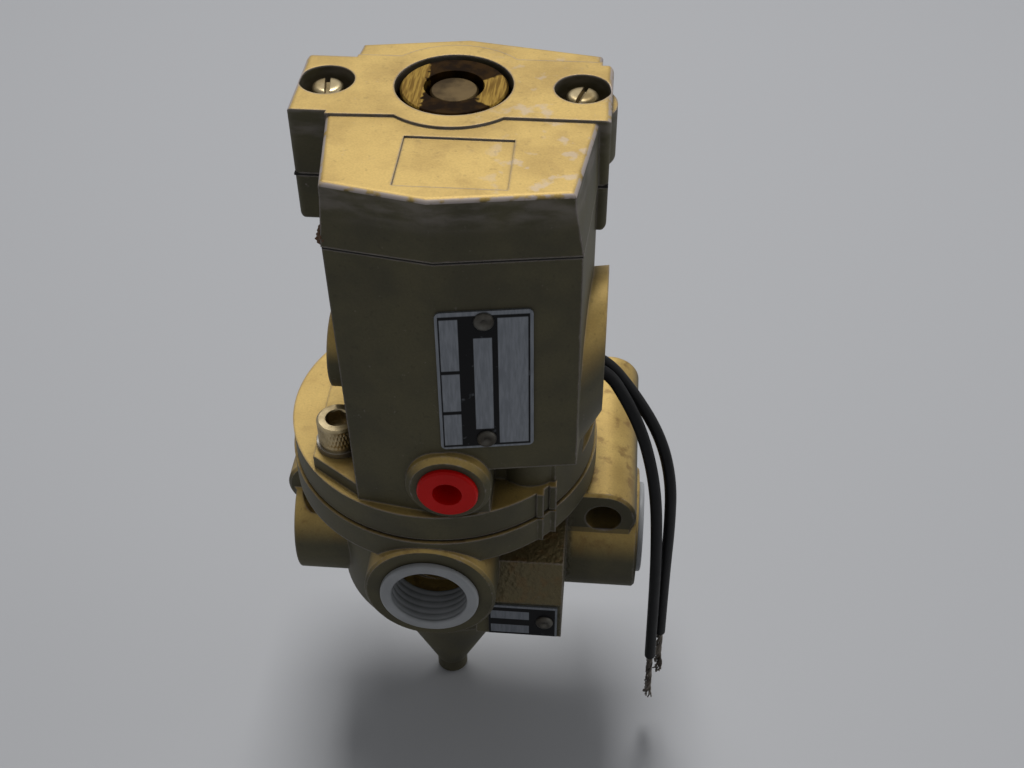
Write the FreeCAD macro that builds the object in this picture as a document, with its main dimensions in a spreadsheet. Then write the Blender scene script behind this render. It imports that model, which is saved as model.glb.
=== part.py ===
"""Solenoid-piloted inline poppet valve.

Frame, in millimetres: X to the right, Y to the back, Z up along the valve axis.
The origin lies half way between the two mounting holes, on the plane of their back faces.
"""
import FreeCAD, Part
import math
import os
import Sketcher

doc = FreeCAD.newDocument("ControlValve")
sheet = doc.addObject("Spreadsheet::Sheet", "Sizes")

# Driving sizes.
sizes = {
    # the two upright axes: the valve's own and the pilot solenoid's
    "valve_x": -3.8, "valve_y": -39.6, "pilot_y": -29.0,
    # clearances
    "slide_gap": 0.05, "part_gap": 0.3, "bolt_gap": 0.25, "plunger_gap": 0.08,
    # small broken edges, and how far a cut runs past the face it opens
    "edge_break": 0.4, "cut_over": 1.0, "cut_clear": 60.0,
    # valve body
    "joint_z": 16.8, "rim_high": 7.0, "rim_rad": 36.5, "neck_rad": 28.0, "bowl_low": -29.5,
    "bowl_step": 3.0, "cone_rad": 22.0, "nub_x": -1.65, "nub_rad": 4.2, "nub_high": 4.8, "nub_low": -78.0,
    "nub_bevel": 0.9,
    "lug_span": 70.6, "lug_rad": 8.0, "lug_hole_rad": 4.35,
    "lug_root": 16.8, "lug_bevel": 0.7, "lug_deep_right": 50.7, "lug_deep_left": 45.5,
    "port_rad": 15.2, "port_drop": 14.5, "port_bevel": 0.6,
    "front_port_proud": 0.9, "right_port_proud": 0.7, "left_port_back": 2.1,
    "thread_rad": 9.13, "thread_deep": 12.0, "way_rad": 5.5, "left_way_drop": 2.0,
    "front_way_rad": 6.0, "front_way_drop": 3.0,
    "drop_way_rad": 3.0, "drop_way_in": 15.8, "drop_way_low": -28.5, "link_way_rad": 3.0,
    "pad_left": 6.0, "pad_right": 26.5, "pad_behind": 5.0, "pad_high": -7.5, "pad_low": -19.5,
    "pad_slope_deep": 5.0, "pad_slope_high": 9.0,
    # piston and poppets
    "piston_rad": 21.0, "piston_floor": 7.0, "piston_thick": 4.5, "stroke": 4.5, "piston_rest": 0.2,
    "stem_rad": 4.0, "cage_rad": 11.0, "cage_wall": 2.0, "cage_flange_rad": 14.0,
    "cage_flange_thick": 2.5, "web_thick": 2.5, "seat_rad": 7.0,
    "exhaust_seat": -9.5, "inlet_seat": -25.0, "window_wide": 12.0, "window_edge": 1.0,
    "poppet_rad": 8.6, "poppet_thick": 3.5, "bowl_floor": -44.0,
    "spring_wire": 1.4, "spring_rad": 6.3,
    "spring_turns": 5, "nut_flat": 11.0, "nut_thick": 3.2, "stem_over": 0.6, "stem_under": 1.5,
    "nut_room_rad": 8.3,
    # gaskets
    "body_gasket": 0.6, "cover_gasket": 0.5, "seal_thick": 2.4, "seal_gap": 0.02,
    # pilot housing
    "disc_rad": 35.9, "disc_thick": 7.3, "shelf_high": 3.5,
    "shelf_left": -30.8, "shelf_front": -62.1, "shelf_tip": -70.2, "shelf_back": -20.0,
    "shelf_side": -31.3, "shelf_side_back": -25.0, "shelf_back_left": -28.3, "wall": 3.0,
    "seam_z": 89.5, "apex_x": 0.0, "apex_top": -69.2, "apex_low": -74.2, "right_slope": 0.155,
    "left_slope": -0.165, "corner_left_top_x": -21.8, "corner_left_low_x": -19.3,
    "corner_right_top_x": 28.2, "corner_right_low_x": 28.6,
    "side_right": 30.0, "waist_y": -41.0, "waist_left_top": -24.7, "waist_left_low": -22.5,
    "back_right_y": -13.9, "back_apex_x": 1.2, "back_apex_y": -8.7,
    "back_left_x": -21.2, "back_left_y": -12.4,
    "ear_reach": 32.2, "ear_front": -41.0, "ear_back": -19.2, "ear_high": 10.4, "ear_round": 1.3,
    "skirt_z": 37.0, "niche_left": 10.2, "niche_back": -62.5, "niche_floor_back": -59.0, "floor_left": -17.2,
    "floor_niche_in": 1.5, "floor_right": 22.0, "floor_side": 8.0, "floor_back_right": 18.0, "floor_back_in": 1.0,
    "column_rad": 7.2, "rib_wide": 1.6, "rib_deep": 4.0, "rib_one_x": 20.8, "rib_one_front": -67.0,
    "rib_two_x": 23.5, "rib_two_front": -64.3,
    "conduit_y": -43.0, "conduit_z": 52.5, "conduit_reach": 33.4, "conduit_hole": 10.5, "conduit_through": 4.0,
    "boss_y": -43.5, "boss_z": 51.5, "boss_rad": 16.0,
    "boss_root_x": 27.6, "boss_root_y": -46.2, "boss_root_z": 47.0, "boss_root_rad": 20.5,
    "knock_y": -44.0, "knock_z": 46.5, "knock_rad": 9.8, "knock_reach": 27.2,
    "plug_x": 1.4, "plug_z": 33.2, "plug_hole": 5.4, "plug_deep": 9.0, "plug_boss": 9.3,
    "plug_boss_front": -75.0, "plug_head": 6.6, "plug_head_thick": 1.2, "plug_hollow": 3.2,
    "plug_boss_bevel": 1.1, "plug_end_gap": 2.0, "gallery_z": 30.6, "gallery_rad": 1.3, "gallery_wall": 2.4, "gallery_in": 3.0,
    "plug_block": 3.0, "block_in": 5.0, "block_behind": 4.0,
    # flange bolts, quarter inch socket heads
    "bolt_x": 21.6, "bolt_y": 17.7, "bolt_rad": 3.175, "bolt_head": 4.76, "bolt_head_high": 6.35,
    "bolt_hex": 4.76, "bolt_hex_deep": 3.2, "washer_rad": 5.3, "washer_thick": 1.45,
    "washer_split": 0.8,
    # pilot valve and solenoid
    "pilot_boss_rad": 12.0, "pilot_boss_top": 38.0, "pilot_room_rad": 5.0, "pilot_room_low": 26.0,
    "seat_low": 33.0, "seat_high": 4.0, "seat_out": 6.0, "seat_orifice": 2.2, "crown_rad": 10.0,
    "crown_deep": 1.0, "crown_way_x": -8.5,
    "pin_rad": 1.5, "pin_grip": 3.5, "pin_bite": 1.7, "pilot_poppet_rad": 3.2, "pilot_poppet_thick": 2.4,
    "pilot_travel": 2.2, "pilot_pocket": 4.0, "pilot_pocket_deep": 6.0,
    "pole_flange": 11.0, "pole_flange_thick": 2.0, "core_rad": 5.5, "pole_top": 56.0,
    "air_gap": 0.4, "plunger_high": 19.5, "rod_rad": 3.0, "tube_wall": 0.75,
    "tube_clear": 5.0, "frame_wide": 35.0, "frame_deep": 24.0, "frame_thick": 2.0, "frame_high": 36.0,
    "coil_rad": 15.0, "winding_rad": 14.0, "coil_cheek": 1.5,
    "block_left": 2.0, "block_right": 13.0, "block_front": -50.5, "block_back": -38.0,
    "block_low": 43.8, "block_high": 52.0,
    "pilot_spring_wire": 0.8, "pilot_spring_rad": 3.0, "pilot_spring_turns": 6,
    # override button in its cap
    "cap_rad": 11.05, "cap_drop": 0.4, "cap_hole": 6.2, "cap_hole_deep": 6.0,
    "cap_room_rad": 6.7, "cap_land": 7.6, "button_rad": 5.0, "button_drop": 0.8,
    "button_flange": 6.2, "button_flange_thick": 2.0,
    # cover
    "cover_high": 15.0, "cover_step": 0.55, "cover_slab": 3.0, "cover_roof": 3.2, "cover_over": 0.15,
    "cover_hole": 12.15, "cover_apex_x": -0.5, "cover_apex_y": -69.9,
    "cover_left_x": -21.1, "cover_left_y": -65.5, "cover_right_x": 26.6, "cover_right_y": -65.8,
    "cover_waist_left": -24.2, "cover_side": 29.8, "cover_back_left_x": -21.4, "cover_round": 1.1,
    "band_rad": 16.4, "post_wall": 1.5,
    "band_front_left": -42.1, "band_front_right": -40.2, "band_back_left": -18.1, "band_back_right": -17.8,
    "panel_left": -7.5, "panel_right": 14.0, "panel_front": -65.2, "panel_back": -48.3, "panel_deep": 0.4,
    "screw_x": 26.1, "screw_well": 5.75, "screw_well_deep": 5.3, "screw_head": 3.1,
    "screw_head_high": 3.4, "screw_crown": 1.7, "screw_dome": 0.9, "screw_rad": 2.0, "screw_long": 19.0,
    "slot_wide": 1.2, "slot_deep": 1.4, "slot_turn": 50.0, "screw_post": 3.7, "screw_post_high": 16.0,
    # port protectors
    "guard_flange": 11.4, "guard_thick": 1.4, "guard_in": 8.72, "guard_deep": 8.0,
    # plates
    "plate_left": 0.2, "plate_wide": 19.4, "plate_high": 34.6, "plate_low": 43.8,
    "plate_thick": 0.5, "plate_round": 1.2, "plate_rivet_x": 9.6, "plate_rivet_in": 2.4,
    "rivet_head": 2.1, "rivet_rim": 0.35, "rivet_shoulder": 1.5, "rivet_shoulder_high": 0.75,
    "rivet_crown": 0.7, "rivet_high": 0.9, "rivet_rad": 1.1,
    "tag_left": 9.2, "tag_right": 25.5, "tag_low": -18.9, "tag_high": -8.2, "tag_rivet": 22.5,
    # leads
    "lead_dia": 2.8, "strand_dia": 1.5, "inner_bared": 18.9, "outer_bared": 17.0,
}
for line, (name, size) in enumerate(sizes.items(), start=1):
    sheet.set("A%d" % line, name)
    sheet.set("B%d" % line, str(size))
    sheet.setAlias("B%d" % line, name)
doc.recompute()


class Term:
    """A size or a sum of sizes: the expression that binds it, and its value now."""

    def __init__(self, text, value):
        self.text, self.value = text, float(value)

    @staticmethod
    def of(thing):
        return thing if isinstance(thing, Term) else Term("(%r)" % float(thing), thing)

    def _join(self, sign, other, value):
        return Term("(%s %s %s)" % (self.text, sign, other.text), value)

    def __add__(self, other):
        other = Term.of(other)
        return self._join("+", other, self.value + other.value)

    def __sub__(self, other):
        other = Term.of(other)
        return self._join("-", other, self.value - other.value)

    def __mul__(self, other):
        other = Term.of(other)
        return self._join("*", other, self.value * other.value)

    def __truediv__(self, other):
        other = Term.of(other)
        return self._join("/", other, self.value / other.value)

    def __neg__(self):
        return Term("(0 - %s)" % self.text, -self.value)

    def __rsub__(self, other):
        return Term.of(other) - self


class Sizes:
    """Reads a size from the sheet by its name."""

    def __getattr__(self, name):
        return Term("Sizes.%s" % name, sheet.get(name))


at = Sizes()
subparts = []


def bind(thing, path, term):
    """Ties one property to the sheet."""
    thing.setExpression(path, Term.of(term).text)


def body(label, x=0, y=0, z=0, turn=None, kept=True):
    """An empty body; its own origin sits at (x, y, z)."""
    piece = doc.addObject("PartDesign::Body", label)
    piece.Label = label
    if turn is not None:
        piece.Placement = FreeCAD.Placement(FreeCAD.Vector(), turn)
    for axis, term in zip("xyz", (x, y, z)):
        bind(piece, "Placement.Base.%s" % axis, term)
    if kept:
        subparts.append(piece)
    return piece


def sketch(piece, plane, lift=0):
    """A sketch on one of the body's own planes; XZ looks along -Y, so lift runs to the front."""
    flat = piece.newObject("Sketcher::SketchObject", "Sketch")
    origin = [f for f in piece.Origin.OriginFeatures if f.Role == plane + "_Plane"][0]
    flat.AttachmentSupport = [(origin, "")]
    flat.MapMode = "FlatFace"
    bind(flat, "AttachmentOffset.Base.z", lift)
    return flat


def pin_point(flat, edge, end, x, y):
    """Fixes one point of a sketch at (x, y)."""
    for kind, term in (("DistanceX", Term.of(x)), ("DistanceY", Term.of(y))):
        rule = flat.addConstraint(Sketcher.Constraint(kind, -1, 1, edge, end, term.value))
        flat.setExpression("Constraints[%d]" % rule, term.text)


def outline(flat, corners):
    """A closed outline of straight sides."""
    first = flat.GeometryCount
    count = len(corners)
    spots = [FreeCAD.Vector(Term.of(x).value, Term.of(y).value, 0) for x, y in corners]
    for k in range(count):
        flat.addGeometry(Part.LineSegment(spots[k], spots[(k + 1) % count]), False)
    for k in range(count):
        flat.addConstraint(
            Sketcher.Constraint("Coincident", first + k, 2, first + (k + 1) % count, 1))
    for k, (x, y) in enumerate(corners):
        pin_point(flat, first + k, 1, x, y)
    return flat


def ring(flat, x, y, radius):
    """A full circle."""
    radius = Term.of(radius)
    middle = FreeCAD.Vector(Term.of(x).value, Term.of(y).value, 0)
    edge = flat.addGeometry(Part.Circle(middle, FreeCAD.Vector(0, 0, 1), radius.value), False)
    pin_point(flat, edge, 3, x, y)
    rule = flat.addConstraint(Sketcher.Constraint("Radius", edge, radius.value))
    flat.setExpression("Constraints[%d]" % rule, radius.text)
    return flat


def box(flat, left, right, low, high):
    return outline(flat, [(left, low), (right, low), (right, high), (left, high)])


def computed(piece, feature):
    """Hands a feature on once it has a shape."""
    if "Invalid" in feature.State or feature.Shape.isNull():
        raise RuntimeError("%s of %s has no shape" % (feature.Name, piece.Label))
    return feature


def pad(piece, flat, length, back=False):
    feature = piece.newObject("PartDesign::Pad", "Pad")
    feature.Profile = flat
    bind(feature, "Length", length)
    feature.Reversed = back
    doc.recompute()
    return computed(piece, feature)


def pocket(piece, flat, length, ahead=False):
    """Cuts against the sketch's normal, or along it with ahead; it has to take something away."""
    before = piece.Shape.Volume
    feature = piece.newObject("PartDesign::Pocket", "Pocket")
    feature.Profile = flat
    bind(feature, "Length", length)
    feature.Reversed = ahead
    doc.recompute()
    if not computed(piece, feature).Shape.Volume < before:
        raise RuntimeError("a pocket in %s cuts nothing" % piece.Label)
    return feature


def revolve(piece, flat):
    feature = piece.newObject("PartDesign::Revolution", "Revolution")
    feature.Profile = flat
    feature.ReferenceAxis = (flat, ["V_Axis"])
    feature.Angle = 360.0
    doc.recompute()
    return feature


def groove(piece, flat):
    before = piece.Shape.Volume
    feature = piece.newObject("PartDesign::Groove", "Groove")
    feature.Profile = flat
    feature.ReferenceAxis = (flat, ["V_Axis"])
    feature.Angle = 360.0
    doc.recompute()
    if not computed(piece, feature).Shape.Volume < before:
        raise RuntimeError("a groove in %s cuts nothing" % piece.Label)
    return feature


def loft(piece, low, high):
    feature = piece.newObject("PartDesign::AdditiveLoft", "Loft")
    feature.Profile = low
    feature.Sections = [high]
    feature.Ruled = True
    doc.recompute()
    return computed(piece, feature)


def edges_where(feature, test):
    """Names of the edges whose middle point passes the test."""
    found = []
    for number, edge in enumerate(feature.Shape.Edges, start=1):
        middle = edge.valueAt((edge.FirstParameter + edge.LastParameter) / 2)
        if test(edge, middle):
            found.append("Edge%d" % number)
    return found


def fillet(piece, feature, names, radius):
    if not names:
        raise RuntimeError("no edge to round in %s" % piece.Label)
    rounding = piece.newObject("PartDesign::Fillet", "Fillet")
    rounding.Base = (feature, names)
    bind(rounding, "Radius", radius)
    doc.recompute()
    return computed(piece, rounding)


def turned(label, corners, x=0, y=0, z=0, turn=None, kept=True):
    """A turned piece from its half section, (radius, height) corners in order."""
    piece = body(label, x, y, z, turn, kept)
    revolve(piece, outline(sketch(piece, "XZ"), corners))
    return piece


def group(label, pieces):
    """Alike pieces that share one node."""
    together = doc.addObject("Part::Compound", label)
    together.Label = label
    together.Links = pieces
    subparts.append(together)
    return together


def coil_spring(label, x, y, low, length, radius, wire, turns):
    """A compression spring: a six-sided wire swept round, eight chords to the turn."""
    steps = 8
    points = []
    for k in range(steps * turns + 1):
        angle = 2 * math.pi * k / steps
        rise = wire / 2 + (length - wire) * k / (steps * turns)
        points.append(FreeCAD.Vector(radius * math.cos(angle), radius * math.sin(angle), rise))
    across = points[1] - points[0]
    across.normalize()
    side = FreeCAD.Vector(1, 0, 0)
    lift = across.cross(side)
    lift.normalize()
    side = lift.cross(across)
    section = []
    for k in range(7):
        angle = math.pi * k / 3
        section.append(points[0] + side * (wire / 2 * math.cos(angle)) + lift * (wire / 2 * math.sin(angle)))
    wound = Part.makePolygon(points).makePipeShell([Part.makePolygon(section)], True, False, 1)
    spring = doc.addObject("Part::Feature", label)
    spring.Label = label
    spring.Shape = wound
    spring.Placement = FreeCAD.Placement(FreeCAD.Vector(x, y, low), FreeCAD.Rotation())
    subparts.append(spring)
    return spring


# Levels that several pieces share.
disc_low = at.joint_z + at.body_gasket
disc_top = disc_low + at.disc_thick
shelf_top = disc_top + at.shelf_high
housing_top = at.seam_z - at.cover_gasket
band_top = at.seam_z + at.cover_high
cover_top = band_top - at.cover_step
cap_top = band_top - at.cap_drop
cap_room_top = cap_top - at.cap_hole_deep - at.cap_land
button_low = cap_room_top - at.part_gap - at.button_flange_thick
tube_top = button_low - at.pilot_travel - at.tube_clear
front_face = at.rim_rad + at.front_port_proud - at.valve_y
right_face = at.lug_span / 2 + at.lug_rad + at.right_port_proud
left_face = at.lug_span / 2 + at.lug_rad - at.left_port_back
pad_front = at.pad_behind - front_face
bolt_spots = [(sx, sy) for sx in (-1, 1) for sy in (-1, 1)]


def bolt_place(sx, sy):
    """A flange bolt's axis, from the valve axis."""
    return at.bolt_x * sx, at.bolt_y * sy


def rim_ribs(piece, level, length, along_x=0, along_y=0, back=False):
    """The two small locating ribs on the front right of both round flanges."""
    plan = sketch(piece, "XY", level)
    for x, front in ((at.rib_one_x, at.rib_one_front), (at.rib_two_x, at.rib_two_front)):
        box(plan, x - at.rib_wide / 2 - along_x, x + at.rib_wide / 2 - along_x,
            front - along_y, front + at.rib_deep - along_y)
    pad(piece, plan, length, back)


def round_edges(piece, feature, radius, test):
    return fillet(piece, feature, edges_where(feature, test), radius)


def bevel_edges(piece, feature, size, test):
    """Breaks the edges that pass the test with a flat chamfer."""
    bevel = piece.newObject("PartDesign::Chamfer", "Chamfer")
    bevel.Base = (feature, edges_where(feature, test))
    bind(bevel, "Size", size)
    doc.recompute()
    return computed(piece, bevel)


# The valve body.
def make_valve_body():
    piece = body("valve_body", at.valve_x, at.valve_y)
    outside = sketch(piece, "XZ")
    outline(outside, [
        (0, at.joint_z), (at.rim_rad, at.joint_z), (at.rim_rad, at.joint_z - at.rim_high),
        (at.neck_rad, at.joint_z - at.rim_high), (at.neck_rad, at.bowl_low + at.bowl_step),
        (at.cone_rad, at.bowl_low), (0, at.bowl_low)])
    revolve(piece, outside)
    rim_ribs(piece, at.joint_z, at.rim_high, at.valve_x, at.valve_y, back=True)

    # the cone below runs a little to the left, down to a round-ended nub
    wide = ring(sketch(piece, "XY", at.bowl_low), 0, 0, at.cone_rad)
    narrow = ring(sketch(piece, "XY", at.nub_low + at.nub_high), at.nub_x, 0, at.nub_rad)
    loft(piece, wide, narrow)
    tip = ring(sketch(piece, "XY", at.nub_low + at.nub_high), at.nub_x, 0, at.nub_rad)
    nub = pad(piece, tip, at.nub_high, back=True)
    bevel_edges(piece, nub, at.nub_bevel, lambda e, m: abs(m.z - sizes["nub_low"]) < 0.01)

    # ports: front one level with the lugs, the side ones lower
    front = ring(sketch(piece, "XZ", front_face + at.valve_y), 0, 0, at.port_rad)
    boss = pad(piece, front, front_face + at.valve_y, back=True)
    boss = bevel_edges(piece, boss, at.port_bevel,
                       lambda e, m: abs(m.y + (front_face + at.valve_y).value) < 0.01)
    right = ring(sketch(piece, "YZ", right_face - at.valve_x), 0, -at.port_drop, at.port_rad)
    boss = pad(piece, right, right_face - at.valve_x, back=True)
    bevel_edges(piece, boss, at.port_bevel, lambda e, m: abs(m.x - (right_face - at.valve_x).value) < 0.01)
    left = ring(sketch(piece, "YZ", -left_face - at.valve_x), 0, -at.port_drop, at.port_rad)
    pad(piece, left, left_face + at.valve_x)

    # lugs: long round-ended bars that run to the mounting plane at the back
    for side, deep in ((1, at.lug_deep_right), (-1, at.lug_deep_left)):
        middle = at.lug_span / 2 * side - at.valve_x
        inner = at.lug_root * side
        web = sketch(piece, "XZ", at.valve_y)
        if side > 0:
            box(web, inner, middle, -at.lug_rad, at.lug_rad)
        else:
            box(web, middle, inner, -at.lug_rad, at.lug_rad)
        pad(piece, web, deep)
        bar = pad(piece, ring(sketch(piece, "XZ", at.valve_y), middle, 0, at.lug_rad), deep)
        level = -(deep + at.valve_y).value
        bevel_edges(piece, bar, at.lug_bevel,
                    lambda e, m: abs(m.y - level) < 0.01 and (abs(m.z) > 1 or abs(m.x) > sizes["lug_span"] / 2))

    # pad for the small plate, with a sloped back that runs up to the bowl
    block = sketch(piece, "YZ", at.pad_left - at.valve_x)
    face = pad_front - at.valve_y
    outline(block, [
        (face, at.pad_low), (face, at.pad_high),
        (face + at.pad_slope_deep, at.pad_high + at.pad_slope_high),
        (0, at.pad_high + at.pad_slope_high), (0, at.pad_low)])
    pad(piece, block, at.pad_right - at.pad_left)

    # piston chamber, seat of the cage, cage bore and bowl
    inside = sketch(piece, "XZ")
    outline(inside, [
        (0, at.joint_z + at.cut_over), (at.piston_rad, at.joint_z + at.cut_over),
        (at.piston_rad, at.piston_floor),
        (at.cage_flange_rad, at.piston_floor),
        (at.cage_flange_rad, at.piston_floor - at.cage_flange_thick),
        (at.cage_rad, at.piston_floor - at.cage_flange_thick), (at.cage_rad, at.bowl_floor),
        (0, at.bowl_floor)])
    groove(piece, inside)

    # tapped mouths, then the ways on to the cage
    face = front_face + at.valve_y
    pocket(piece, ring(sketch(piece, "XZ", face), 0, 0, at.thread_rad), at.thread_deep)
    pocket(piece, ring(sketch(piece, "XZ", face - at.thread_deep), 0, -at.front_way_drop, at.front_way_rad),
           face - at.thread_deep - at.cage_rad / 2)
    face = right_face - at.valve_x
    pocket(piece, ring(sketch(piece, "YZ", face), 0, -at.port_drop, at.thread_rad), at.thread_deep)
    pocket(piece, ring(sketch(piece, "YZ", face - at.thread_deep), 0, -at.port_drop, at.way_rad),
           face - at.thread_deep - at.cage_rad / 2)
    face = left_face + at.valve_x
    pocket(piece, ring(sketch(piece, "YZ", -face), 0, -at.port_drop, at.thread_rad), at.thread_deep, ahead=True)
    pocket(piece, ring(sketch(piece, "YZ", at.thread_deep - face), 0, -at.port_drop - at.left_way_drop,
                       at.way_rad),
           face - at.thread_deep - at.drop_way_in, ahead=True)
    pocket(piece, ring(sketch(piece, "XY", -at.port_drop), -at.drop_way_in, 0, at.drop_way_rad),
           -at.port_drop - at.drop_way_low + at.link_way_rad)
    pocket(piece, ring(sketch(piece, "YZ", -at.drop_way_in), 0, at.drop_way_low, at.link_way_rad),
           at.drop_way_in - at.cage_rad / 2, ahead=True)

    # mounting holes, flange bolt holes, rivet hole
    holes = sketch(piece, "XZ", at.valve_y)
    for side in (-1, 1):
        ring(holes, at.lug_span / 2 * side - at.valve_x, 0, at.lug_hole_rad)
    pocket(piece, holes, at.lug_deep_right, ahead=True)
    holes = sketch(piece, "XY", at.joint_z)
    for sx, sy in bolt_spots:
        ring(holes, *bolt_place(sx, sy), at.bolt_rad + at.slide_gap)
    pocket(piece, holes, at.rim_high)
    return piece


# The pilot housing.
def wall_outline(flat, level, inset=0):
    """The housing's plan: a front that comes to a soft ridge, a waist, and a shallow-ridged back."""
    if level == "top":
        apex = (at.apex_x, at.apex_top)
        left_x, right_x = at.corner_left_top_x, at.corner_right_top_x
        waist = at.waist_left_top
    else:
        apex = (at.apex_x, at.apex_low)
        left_x, right_x = at.corner_left_low_x, at.corner_right_low_x
        waist = at.waist_left_low
    left = (left_x, apex[1] + (left_x - at.apex_x) * at.left_slope)
    right = (right_x, apex[1] + (right_x - at.apex_x) * at.right_slope)
    return outline(flat, [
        (left[0] + inset, left[1] + inset), (apex[0], apex[1] + inset),
        (right[0] - inset, right[1] + inset), (at.side_right - inset, at.waist_y),
        (at.side_right - inset, at.back_right_y - inset), (at.back_apex_x, at.back_apex_y - inset),
        (at.back_left_x + inset, at.back_left_y - inset), (waist + inset, at.waist_y)])


def make_pilot_housing():
    piece = body("pilot_housing")
    low = wall_outline(sketch(piece, "XY", disc_top), "low")
    high = wall_outline(sketch(piece, "XY", housing_top), "top")
    loft(piece, low, high)

    # the conduit boss grows out of the right wall and narrows to its face
    root = ring(sketch(piece, "YZ", at.boss_root_x), at.boss_root_y, at.boss_root_z, at.boss_root_rad)
    face = ring(sketch(piece, "YZ", at.conduit_reach), at.boss_y, at.boss_z, at.boss_rad)
    loft(piece, root, face)
    # a plain knock-out boss stands on the left wall
    pad(piece, ring(sketch(piece, "YZ", -at.knock_reach), at.knock_y, at.knock_z, at.knock_rad),
        at.knock_reach + at.waist_left_low + at.wall)

    # below the skirt the walls keep inside the disc
    trim = sketch(piece, "XY", at.skirt_z)
    box(trim, at.valve_x - at.cut_clear, at.valve_x + at.cut_clear,
        at.valve_y - at.cut_clear, at.valve_y + at.cut_clear)
    ring(trim, at.valve_x, at.valve_y, at.disc_rad)
    pocket(piece, trim, at.skirt_z - disc_top + at.cut_over)

    # niche at the front right, open to the front and to the side, round a bolt's column
    niche = box(sketch(piece, "XY", at.skirt_z), at.niche_left, at.side_right + at.cut_clear,
                at.apex_low - at.cut_clear, at.niche_back)
    pocket(piece, niche, at.skirt_z - disc_top + at.cut_over)
    bolt = bolt_place(1, -1)
    column = ring(sketch(piece, "XY", disc_top), at.valve_x + bolt[0], at.valve_y + bolt[1], at.column_rad)
    pad(piece, column, at.skirt_z - disc_top)

    # the plug's boss at the front
    boss = pad(piece, ring(sketch(piece, "XZ", -at.plug_boss_front), at.plug_x, at.plug_z, at.plug_boss),
               -at.plug_boss_front + at.apex_low + at.wall, back=True)
    bevel_edges(piece, boss, at.plug_boss_bevel, lambda e, m: abs(m.y - sizes["plug_boss_front"]) < 0.01)

    # flange disc, shelf of the left bolts, ears of the cover screws
    disc = ring(sketch(piece, "XY", disc_low), at.valve_x, at.valve_y, at.disc_rad)
    pad(piece, disc, at.disc_thick)
    rim_ribs(piece, disc_low, at.disc_thick)
    shelf = outline(sketch(piece, "XY", disc_top), [
        (at.shelf_left, at.shelf_front), (at.corner_left_low_x, at.shelf_tip), (0, at.shelf_front),
        (0, at.shelf_back), (at.shelf_back_left, at.shelf_back), (at.shelf_side, at.shelf_side_back)])
    pad(piece, shelf, at.shelf_high)
    ears = box(sketch(piece, "XY", housing_top), -at.ear_reach, at.ear_reach, at.ear_front, at.ear_back)
    shoulders = pad(piece, ears, at.ear_high, back=True)
    round_edges(piece, shoulders, at.ear_round, lambda e, m: abs(abs(m.x) - sizes["ear_reach"]) < 0.01
                and abs(m.z - housing_top.value) > 0.01)

    # the room for the solenoid; its floor draws back behind the niche
    room = wall_outline(sketch(piece, "XY", housing_top), "top", at.wall)
    pocket(piece, room, housing_top - at.skirt_z - at.wall)
    floor = outline(sketch(piece, "XY", at.skirt_z + at.wall), [
        (at.floor_left, at.apex_top + at.wall * 2),
        (at.apex_x, at.apex_top + at.wall),
        (at.niche_left - at.wall, at.apex_top + at.wall + at.floor_niche_in),
        (at.niche_left - at.wall, at.niche_floor_back), (at.floor_right, at.niche_floor_back),
        (at.side_right - at.wall, at.valve_y - at.floor_side),
        (at.side_right - at.wall, at.valve_y + at.floor_side),
        (at.floor_back_right, at.back_right_y - at.wall - at.floor_back_in),
        (at.back_apex_x, at.back_apex_y - at.wall - at.floor_back_in),
        (at.floor_left, at.back_left_y - at.wall - at.floor_back_in)])
    pocket(piece, floor, at.skirt_z + at.wall - shelf_top)

    # head room of the four flange bolts: reliefs in the left wall, wells inside the right one
    for side, top in ((-1, at.skirt_z), (1, at.skirt_z + at.wall)):
        wells = sketch(piece, "XY", top)
        for end in (-1, 1):
            dx, dy = bolt_place(side, end)
            ring(wells, at.valve_x + dx, at.valve_y + dy, at.washer_rad + at.part_gap)
        pocket(piece, wells, top - shelf_top)

    # post of the right cover screw, which stands inside the room
    post = ring(sketch(piece, "XY", housing_top), at.screw_x, at.pilot_y, at.screw_post)
    pad(piece, post, at.screw_post_high, back=True)

    # pilot boss, the rib of the supply gallery, and the block behind the plug
    pad(piece, ring(sketch(piece, "XY", shelf_top), 0, at.pilot_y, at.pilot_boss_rad), at.pilot_boss_top - shelf_top)
    half = at.gallery_rad + at.gallery_wall
    rib = box(sketch(piece, "XY", shelf_top), at.plug_x - half, at.plug_x + half,
              at.apex_low + at.block_in, at.pilot_y - at.pilot_boss_rad + at.gallery_in)
    pad(piece, rib, at.gallery_z + half - shelf_top)
    half = at.plug_hole + at.plug_block
    block = box(sketch(piece, "XY", shelf_top), at.plug_x - half, at.plug_x + half,
                at.apex_low + at.block_in, at.plug_boss_front + at.plug_deep + at.block_behind)
    pad(piece, block, at.plug_z + half - shelf_top)
    return piece


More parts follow.
